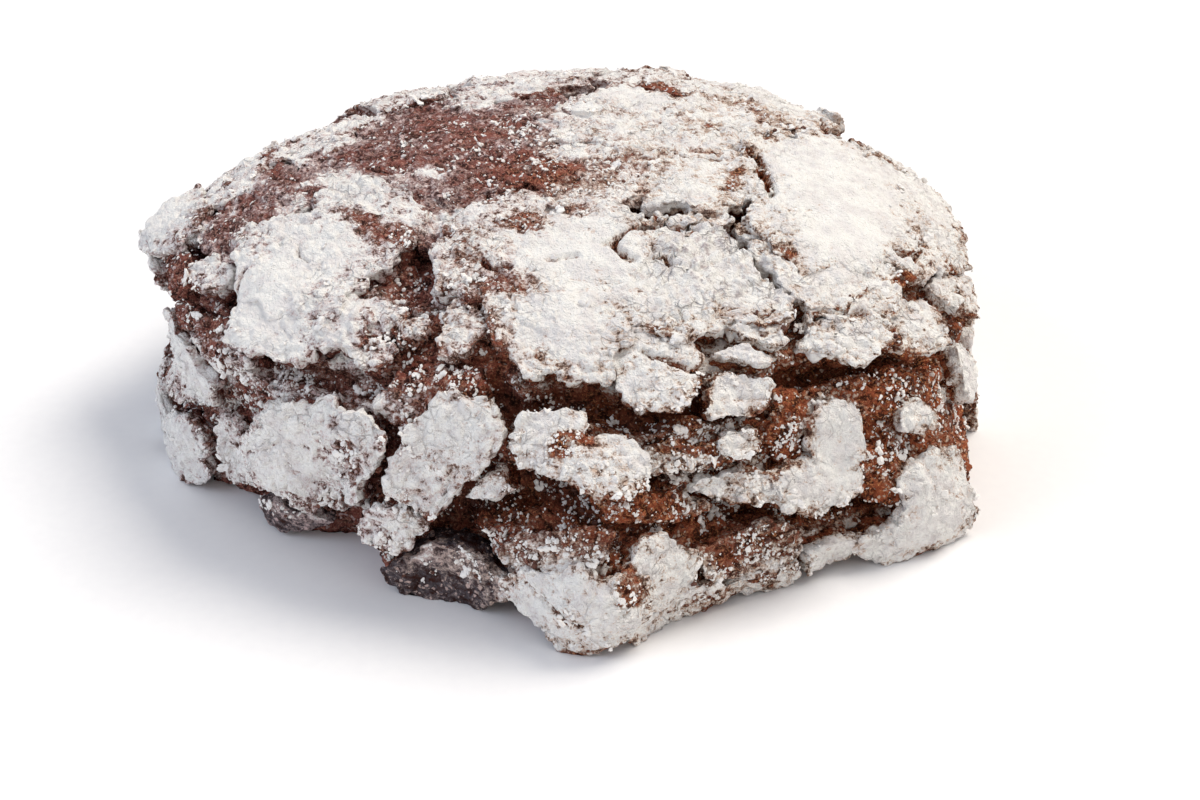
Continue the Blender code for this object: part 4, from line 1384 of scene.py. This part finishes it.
class Mixer:
    """One material, and the nodes that its finish is mixed from. Sizes are in millimetres."""

    def __init__(self, name: str) -> None:
        """Starts a material with only its Principled shader and output.

        Args:
            name: the material's name.
        """
        self.made = bpy.data.materials.new(name)
        self.made.use_nodes = True
        self.tree = self.made.node_tree
        self.shader = self.tree.nodes["Principled BSDF"]
        self.place = add_node(self.tree, "ShaderNodeTexCoord").outputs["Object"]

    def attribute(self, name: str) -> Socket:
        """One of the numbers stored at each vertex."""
        return add_node(self.tree, "ShaderNodeAttribute", attribute_name=name).outputs["Fac"]

    def pattern(
        self, size: float, detail: float = 2.0, roughness: float = 0.5, place: Socket | None = None
    ) -> Socket:
        """Noise.

        Args:
            size: size of its features.
            detail: how many finer layers it has.
            roughness: how strong they are.
            place: where it is looked up, if not at the place itself.

        Returns:
            The socket.
        """
        inputs = {"Vector": place or self.place, "Scale": per_mm(size)}
        inputs |= {"Detail": detail, "Roughness": roughness}
        return add_node(self.tree, "ShaderNodeTexNoise", inputs).outputs["Fac"]

    def work(self, operation: str, *inputs: Number, clamp: bool = False) -> Socket:
        """A sum.

        Args:
            operation: what is done.
            inputs: the numbers that it is done to.
            clamp: whether the outcome is kept between 0 and 1.

        Returns:
            The outcome's socket.
        """
        node = add_node(self.tree, "ShaderNodeMath", dict(enumerate(inputs)), operation=operation)
        node.use_clamp = clamp
        return node.outputs[0]

    def plus(self, value: Number, times: Number, more: Number) -> Socket:
        """The value multiplied, and something added to it."""
        return self.work("MULTIPLY_ADD", value, times, more)

    def span(self, value: Number, low: Number, high: Number) -> Socket:
        """0 below low and 1 above high, with a smooth rise between.

        Args:
            value: the number that is looked at.
            low: where the rise begins.
            high: where it is complete.

        Returns:
            The socket.
        """
        inputs = {"Value": value, "From Min": low, "From Max": high}
        node = add_node(self.tree, "ShaderNodeMapRange", inputs, interpolation_type="SMOOTHSTEP")
        return node.outputs["Result"]

    def blend(self, share: Number, first: Socket | str, second: Socket | str) -> Socket:
        """A mix of two colours.

        Args:
            share: how much of the second there is.
            first: a hex colour or a socket.
            second: the other.

        Returns:
            The mixed colour's socket.
        """
        first, second = (linear(it) if isinstance(it, str) else it for it in (first, second))
        inputs = {0: share, 6: first, 7: second}
        return add_node(self.tree, "ShaderNodeMix", inputs, data_type="RGBA").outputs[2]

    def shaken(self, size: float, reach: float) -> Socket:
        """The place, moved about by noise.

        Args:
            size: the noise's size.
            reach: the longest move, about.

        Returns:
            The socket.
        """
        inputs = {"Vector": self.place, "Scale": per_mm(size)}
        moves = add_node(self.tree, "ShaderNodeTexNoise", inputs)
        inputs = {0: moves.outputs["Color"], 1: (0.5, 0.5, 0.5)}
        moves = add_node(self.tree, "ShaderNodeVectorMath", inputs, operation="SUBTRACT")
        inputs = {0: moves.outputs[0], 1: (reach * MM,) * 3, 2: self.place}
        moved = add_node(self.tree, "ShaderNodeVectorMath", inputs, operation="MULTIPLY_ADD")
        return moved.outputs[0]

    def specks(self, size: float, chance: Socket, least: float, spread: float) -> Socket:
        """Specks, each of its own size: a small cell here and there.

        Args:
            size: distance between cells.
            chance: share of the cells that hold a speck.
            least: width of the smallest speck, as a share of the cell.
            spread: how much wider the largest is.

        Returns:
            The socket, 1 in a speck.
        """
        inputs = {"Vector": self.shaken(0.5 * size, 0.8 * size), "Scale": per_mm(size)}
        cells = add_node(self.tree, "ShaderNodeTexVoronoi", inputs)
        drawn = add_node(self.tree, "ShaderNodeSeparateColor", {"Color": cells.outputs["Color"]})
        width = self.plus(drawn.outputs[1], spread, least)
        inner = self.work("MULTIPLY", width, 0.75)
        inputs = {"Value": cells.outputs["Distance"], "From Min": width, "From Max": inner}
        small = add_node(self.tree, "ShaderNodeMapRange", inputs).outputs["Result"]
        return self.work("MULTIPLY", self.work("LESS_THAN", drawn.outputs[0], chance), small)

    def finish(self, colour: Socket, height: Socket, distance: float) -> None:
        """Gives the shader its colour and its finest relief.

        Args:
            colour: the colour.
            height: the relief.
            distance: how tall a relief of 1 is.
        """
        bump = add_node(self.tree, "ShaderNodeBump", {"Height": height, "Distance": distance * MM})
        self.tree.links.new(colour, self.shader.inputs["Base Color"])
        self.tree.links.new(bump.outputs["Normal"], self.shader.inputs["Normal"])


@dataclass(frozen=True)
class SugaredDough:
    """Chocolate crinkle dough baked under icing sugar.

    Where the sugar lies thick it is a matt white crust. Where it is thin, dark crumb shows
    through in spots, and torn crumb is bare apart from specks. Each span is where a smooth rise
    begins and where it is complete.
    """

    name: str = "baked_dough_under_icing_sugar"
    sugar: str = "#FBF9F4"
    sugar_shade: str = "#F1EDEA"
    sugar_stain: str = "#C2B6B5"
    sugar_thin: str = "#D8BEAB"
    # painted light: thin sugar is tinted cooler on the left, where cool light falls
    cool_lit_sugar_thin: str = "#D0B6B2"
    film: str = "#D2B49E"
    worn_film: str = "#9C8685"
    # painted shade: the cool grey film on worn dough near the base
    low_shade_film: str = "#9A9CA3"
    crumb_light: str = "#D48F60"
    crumb: str = "#9B5236"
    crumb_dark: str = "#3E1E14"
    # painted light: cooler, purplish crumb colours for the left, where cool light falls
    cool_lit_pale_crumb: str = "#C28D7A"
    cool_lit_crumb: str = "#8B5146"
    cool_lit_dark_crumb: str = "#361D1A"
    # painted shade: the cool dark grey of worn dough near the base
    low_shade: str = "#4B4043"
    # painted shade: the near black that deep cracks and walls are darkened to
    crack: str = "#26130D"
    clot: float = 0.8
    streak: float = 0.45
    streak_stretch: tuple[float, float, float] = (0.3, 0.8, 1.0)
    grain: float = 0.22  # real grains are under 0.1 mm, drawn as coarse as they need to show
    stain: float = 0.7
    crease: float = 1.1
    speck: float = 0.5
    fleck: float = 0.34
    drift: float = 1.6
    broad: float = 3.0
    thick_span: tuple[float, float] = (0.44, 0.62)
    film_span: tuple[float, float] = (0.2, 0.62)
    powder_span: tuple[float, float] = (0.5, 0.8)
    film_cover: float = 0.26
    worn_cover: float = 0.06
    crack_shade: float = 0.54
    # painted light: where the warm tint begins and is complete, in millimetres
    warm_lit_span: tuple[float, float] = (3.0, 31.0)
    warm_lit_in_front: float = 0.3
    low_shade_span: tuple[float, float] = (11.0, 8.0)
    bump: float = 0.26
    roughness: tuple[float, float] = (0.68, 0.95)
    sheen: float = 0.12

    def build(self) -> bpy.types.Material:
        """Makes the material.

        Returns:
            The material.
        """
        mixer = Mixer(self.name)
        sugar, worn, rough = (mixer.attribute(name) for name in ("sugar", "worn", "rough"))
        clots = mixer.pattern(self.clot, 5.0, 0.7)
        grains = mixer.pattern(self.grain, 2.0, 0.7)
        inputs = {"Vector": mixer.place, "Scale": self.streak_stretch}
        drawn_out = add_node(mixer.tree, "ShaderNodeMapping", inputs).outputs[0]
        streaks = mixer.pattern(self.streak, 4.0, 0.65, drawn_out)
        broad, drifts = mixer.pattern(self.broad), mixer.pattern(self.drift)
        # the crust's ragged edge: the sugar amount, broken up by clots, streaks and grains
        uneven = mixer.plus(clots, 1.2, mixer.plus(grains, 0.7, -1.4))
        amount = mixer.work("ADD", sugar, mixer.plus(streaks, 0.9, uneven))
        least, most = self.thick_span
        thick = mixer.span(amount, mixer.plus(worn, -0.2, least), most)
        white = mixer.work("MAXIMUM", thick, self.specks(mixer, sugar, drifts))
        # thick sugar has fine creases where its coat is rough, and they are darkened as painted
        # shade
        inputs = {"Vector": mixer.shaken(1.0, 0.9), "Scale": per_mm(self.crease)}
        cells = add_node(mixer.tree, "ShaderNodeTexVoronoi", inputs, feature="DISTANCE_TO_EDGE")
        crease = mixer.span(cells.outputs["Distance"], 0.08, 0.0)
        crease = mixer.work("MULTIPLY", crease, mixer.span(broad, 0.46, 0.6))
        crease = mixer.work("MULTIPLY", crease, rough)
        powder = self.powder(mixer, rough, drifts, crease)
        # and it is tinted by the dough where it lies thin, by painted light cooler on the left and
        # warmer on the right
        side = self.side(mixer, broad)
        thin = mixer.blend(side, self.cool_lit_sugar_thin, self.sugar_thin)
        powder = mixer.blend(mixer.span(amount, *self.powder_span), thin, powder)
        colour = mixer.blend(white, self.dough(mixer, amount, side, clots, grains), powder)
        relief = mixer.plus(clots, 1.0, mixer.plus(white, 0.35, grains))
        mixer.finish(colour, mixer.plus(crease, -0.5, relief), self.bump)
        inputs = {"Value": white, "To Min": self.roughness[0], "To Max": self.roughness[1]}
        matt = add_node(mixer.tree, "ShaderNodeMapRange", inputs).outputs["Result"]
        mixer.tree.links.new(matt, mixer.shader.inputs["Roughness"])
        mixer.shader.inputs["IOR"].default_value = 1.45
        mixer.shader.inputs["Specular IOR Level"].default_value = self.sheen
        return mixer.made

    def specks(self, mixer: Mixer, sugar: Socket, drifts: Socket) -> Socket:
        """Specks of sugar in drifts, more where more sugar lies.

        Args:
            mixer: adds the nodes.
            sugar: how much sugar lies there.
            drifts: the noise of the drifts.

        Returns:
            The socket, 1 in a speck.
        """
        chance = mixer.plus(drifts, 3.0, mixer.plus(sugar, 1.5, -1.5))
        # fewer specks where painted shade lies deep in a crack
        chance = mixer.plus(mixer.attribute("cavity"), -0.1, chance)
        large = mixer.specks(self.speck, chance, 0.14, 0.38)
        small = mixer.specks(self.fleck, mixer.plus(chance, 0.8, 0.06), 0.18, 0.32)
        return mixer.work("MAXIMUM", large, small)

    def powder(self, mixer: Mixer, rough: Socket, drifts: Socket, crease: Socket) -> Socket:
        """Thick sugar's colour, stained where its coat is rough, with painted shade in its creases.

        Args:
            mixer: adds the nodes.
            rough: how rough the coat is.
            drifts: the noise of the drifts.
            crease: 1 in a crease.

        Returns:
            The colour's socket.
        """
        stains = mixer.span(mixer.pattern(self.stain, 5.0, 0.7), 0.5, 0.66)
        stains = mixer.work("MULTIPLY", mixer.work("MULTIPLY", stains, rough), 0.55)
        powder = mixer.blend(mixer.span(drifts, 0.35, 0.6), self.sugar_shade, self.sugar)
        powder = mixer.blend(stains, powder, self.sugar_stain)
        # painted shade: the creases are darkened towards the stain colour
        crease_shade = mixer.work("MULTIPLY", crease, 0.25, clamp=True)
        return mixer.blend(crease_shade, powder, self.sugar_stain)

    def side(self, mixer: Mixer, broad: Socket) -> Socket:
        """Painted light: where the dough is tinted warm on the right and front, against a cool tint
        on the left.

        Args:
            mixer: adds the nodes.
            broad: the noise that makes the border uneven.

        Returns:
            The socket, 0 at the cool purplish left and 1 at the warm right.
        """
        apart = add_node(mixer.tree, "ShaderNodeSeparateXYZ", {0: mixer.place}).outputs
        aside = mixer.plus(apart["Y"], -self.warm_lit_in_front, apart["X"])
        begins, complete = (edge * MM for edge in self.warm_lit_span)
        return mixer.span(mixer.plus(broad, 0.03, aside), begins, complete)

    def dough(
        self, mixer: Mixer, amount: Socket, side: Socket, clots: Socket, grains: Socket
    ) -> Socket:
        """The colour of the dough between the sugar.

        Args:
            mixer: adds the nodes.
            amount: how much sugar lies there.
            side: 0 where painted light tints the dough cool purplish brown and 1 where it tints it
                redder.
            clots: the noise of the clots.
            grains: the noise of the grains.

        Returns:
            The colour's socket.
        """
        worn = mixer.attribute("worn")
        # painted light: the crumb is cooler and purplish on the left and redder on the right and
        # front
        crumb = mixer.blend(side, self.cool_lit_crumb, self.crumb)
        dark = mixer.blend(side, self.cool_lit_dark_crumb, self.crumb_dark)
        light = mixer.blend(side, self.cool_lit_pale_crumb, self.crumb_light)
        crumb = mixer.blend(mixer.span(clots, 0.4, 0.56), dark, crumb)
        crumb = mixer.blend(mixer.span(grains, 0.5, 0.7), crumb, light)
        # painted shade: worn, bare dough near the base is darkened to a cool grey, with a cool grey
        # film
        rise = add_node(mixer.tree, "ShaderNodeSeparateXYZ", {0: mixer.place}).outputs["Z"]
        begins, complete = (edge * MM for edge in self.low_shade_span)
        low = mixer.work("MULTIPLY", mixer.span(rise, begins, complete), worn)
        low_shade_colour = mixer.blend(mixer.span(clots, 0.42, 0.58), self.crumb_dark, self.low_shade)
        crumb = mixer.blend(low, crumb, low_shade_colour)
        # painted shade: the crumb is darkened where it lies deep in a crack or down a wall
        shade = mixer.work("MULTIPLY", mixer.attribute("cavity"), self.crack_shade)
        crumb = mixer.blend(shade, crumb, self.crack)
        # a thin film of sugar greys the crumb, most of all where the crust is worn
        cover = mixer.plus(worn, self.worn_cover, self.film_cover)
        least, most = self.film_span
        film = mixer.span(amount, mixer.plus(worn, -0.3, least), most)
        coat = mixer.blend(low, mixer.blend(worn, self.film, self.worn_film), self.low_shade_film)
        return mixer.blend(mixer.work("MULTIPLY", film, cover), crumb, coat)


@dataclass(frozen=True)
class LoosePowder:
    """Loose bits of one stuff, such as clotted icing sugar or baked crumb."""

    name: str
    colour: str
    shade: str
    roughness: float
    grain: float = 0.2
    bump: float = 0.05

    def build(self) -> bpy.types.Material:
        """Makes the material.

        Returns:
            The material.
        """
        mixer = Mixer(self.name)
        grains = mixer.pattern(self.grain)
        mixer.finish(mixer.blend(grains, self.shade, self.colour), grains, self.bump)
        mixer.shader.inputs["Roughness"].default_value = self.roughness
        return mixer.made


# ---------------------------------------------------------------- the studio
@dataclass(frozen=True)
class Studio:
    """The pale floor, the soft lights and the camera."""

    elevation: float = 30.0
    distance: float = 220.0
    aim: tuple[float, float, float] = (0.2, 3.6, 0.0)
    lens: float = 78.54
    sensor: float = 36.0
    shift: tuple[float, float] = (0.030833, -0.0016667)
    clip: tuple[float, float] = (0.005, 10.0)
    floor_drop: float = 0.02
    floor_grain: float = 1.0
    ambient: float = 0.48

    def camera(self) -> None:
        """Puts the camera where it looks at the bun from the front and above."""
        data = bpy.data.cameras.new("camera")
        data.lens, data.sensor_width = self.lens, self.sensor
        data.shift_x, data.shift_y = self.shift
        data.clip_start, data.clip_end = self.clip
        eye = bpy.data.objects.new("camera", data)
        tilt = math.radians(self.elevation)
        away = Vector((0.0, -math.cos(tilt), math.sin(tilt))) * self.distance
        eye.location = (Vector(self.aim) + away) * MM
        eye.rotation_euler = (math.radians(90.0 - self.elevation), 0.0, 0.0)
        bpy.context.scene.collection.objects.link(eye)
        bpy.context.scene.camera = eye

    def light(
        self, name: str, place: tuple[float, float, float], size: float, power: float, tint: str
    ) -> None:
        """Adds one soft lamp that faces the bun.

        Args:
            name: the lamp's name.
            place: where it hangs, in metres.
            size: its width, in metres.
            power: in watts.
            tint: its colour.
        """
        data = bpy.data.lights.new(name, "AREA")
        data.size, data.energy, data.color = size, power, linear(tint)[:3]
        lamp = bpy.data.objects.new(name, data)
        lamp.location = place
        lamp.rotation_euler = (-Vector(place)).to_track_quat("-Z", "Y").to_euler()
        bpy.context.scene.collection.objects.link(lamp)

    def floor(self) -> None:
        """Lays the pale floor."""
        maker = bmesh.new()
        bmesh.ops.create_grid(maker, x_segments=8, y_segments=8, size=3.0)
        mesh = mesh_of(maker, "floor")
        card = Mixer("pale_card")  # matt card, which takes a soft shadow
        colour = card.blend(card.pattern(self.floor_grain), "#F5F5F6", "#FAFAFA")
        card.tree.links.new(colour, card.shader.inputs["Base Color"])
        card.shader.inputs["Roughness"].default_value = 0.9
        mesh.materials.append(card.made)
        floor = bpy.data.objects.new("floor", mesh)
        floor.location.z = -self.floor_drop * MM
        bpy.context.scene.collection.objects.link(floor)

    def build(self) -> None:
        """Sets up the whole studio."""
        self.camera()
        self.floor()
        self.light("key", (0.4, 0.25, 0.78), 0.5, 6.7, "#FFF7EC")
        self.light("fill", (-0.95, -0.4, 0.66), 0.8, 4.8, "#DFEAFF")
        self.light("front", (0.6, -0.9, 0.5), 0.8, 1.5, "#FFEBD8")
        world = bpy.data.worlds.new("studio")
        world.use_nodes = True
        background = world.node_tree.nodes["Background"]
        background.inputs["Color"].default_value = linear("#F1F4FB")
        background.inputs["Strength"].default_value = self.ambient
        bpy.context.scene.world = world
        bpy.context.scene.view_settings.view_transform = "Standard"


# ---------------------------------------------------------------- putting it together
def serve(piece: bpy.types.Object) -> None:
    """Puts a finished piece in the scene, on its body, in place of the plain solid.

    Args:
        piece: the piece.
    """
    if piece.name not in bpy.context.scene.collection.objects:
        bpy.context.scene.collection.objects.link(piece)
    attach(piece, BODY)
    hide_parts(NODE)
    triangles = sum(len(face.vertices) - 2 for face in piece.data.polygons)
    log.info("%s: %d triangles", piece.name, triangles)


def main() -> None:
    """Builds the studio, the core, the crust and the loose bits."""
    logging.basicConfig(level=logging.INFO, format="%(message)s")
    Studio().build()
    form = OuterForm()
    dusting = Dusting(form)
    dough = SugaredDough().build()
    crust = Crust(form, dusting)
    serve(CrumbCore(form, dusting).build(crust, dough))
    for region in Region:
        serve(crust.build(region, dough))
    bpy.context.view_layer.update()
    # clots of icing sugar are dead matt and near white, and baked crumb is a dull brown
    powder = LoosePowder("clotted_icing_sugar", "#FBF9F5", "#EAE6E2", 0.95).build()
    baked = LoosePowder("baked_crumb_bits", "#7A4E40", "#3A2019", 0.8).build()
    for heap in SUGAR_HEAPS:
        serve(heap.build(form, powder))
    serve(CRUMB_HEAP.build(form, baked))


if __name__ == "__main__":
    main()
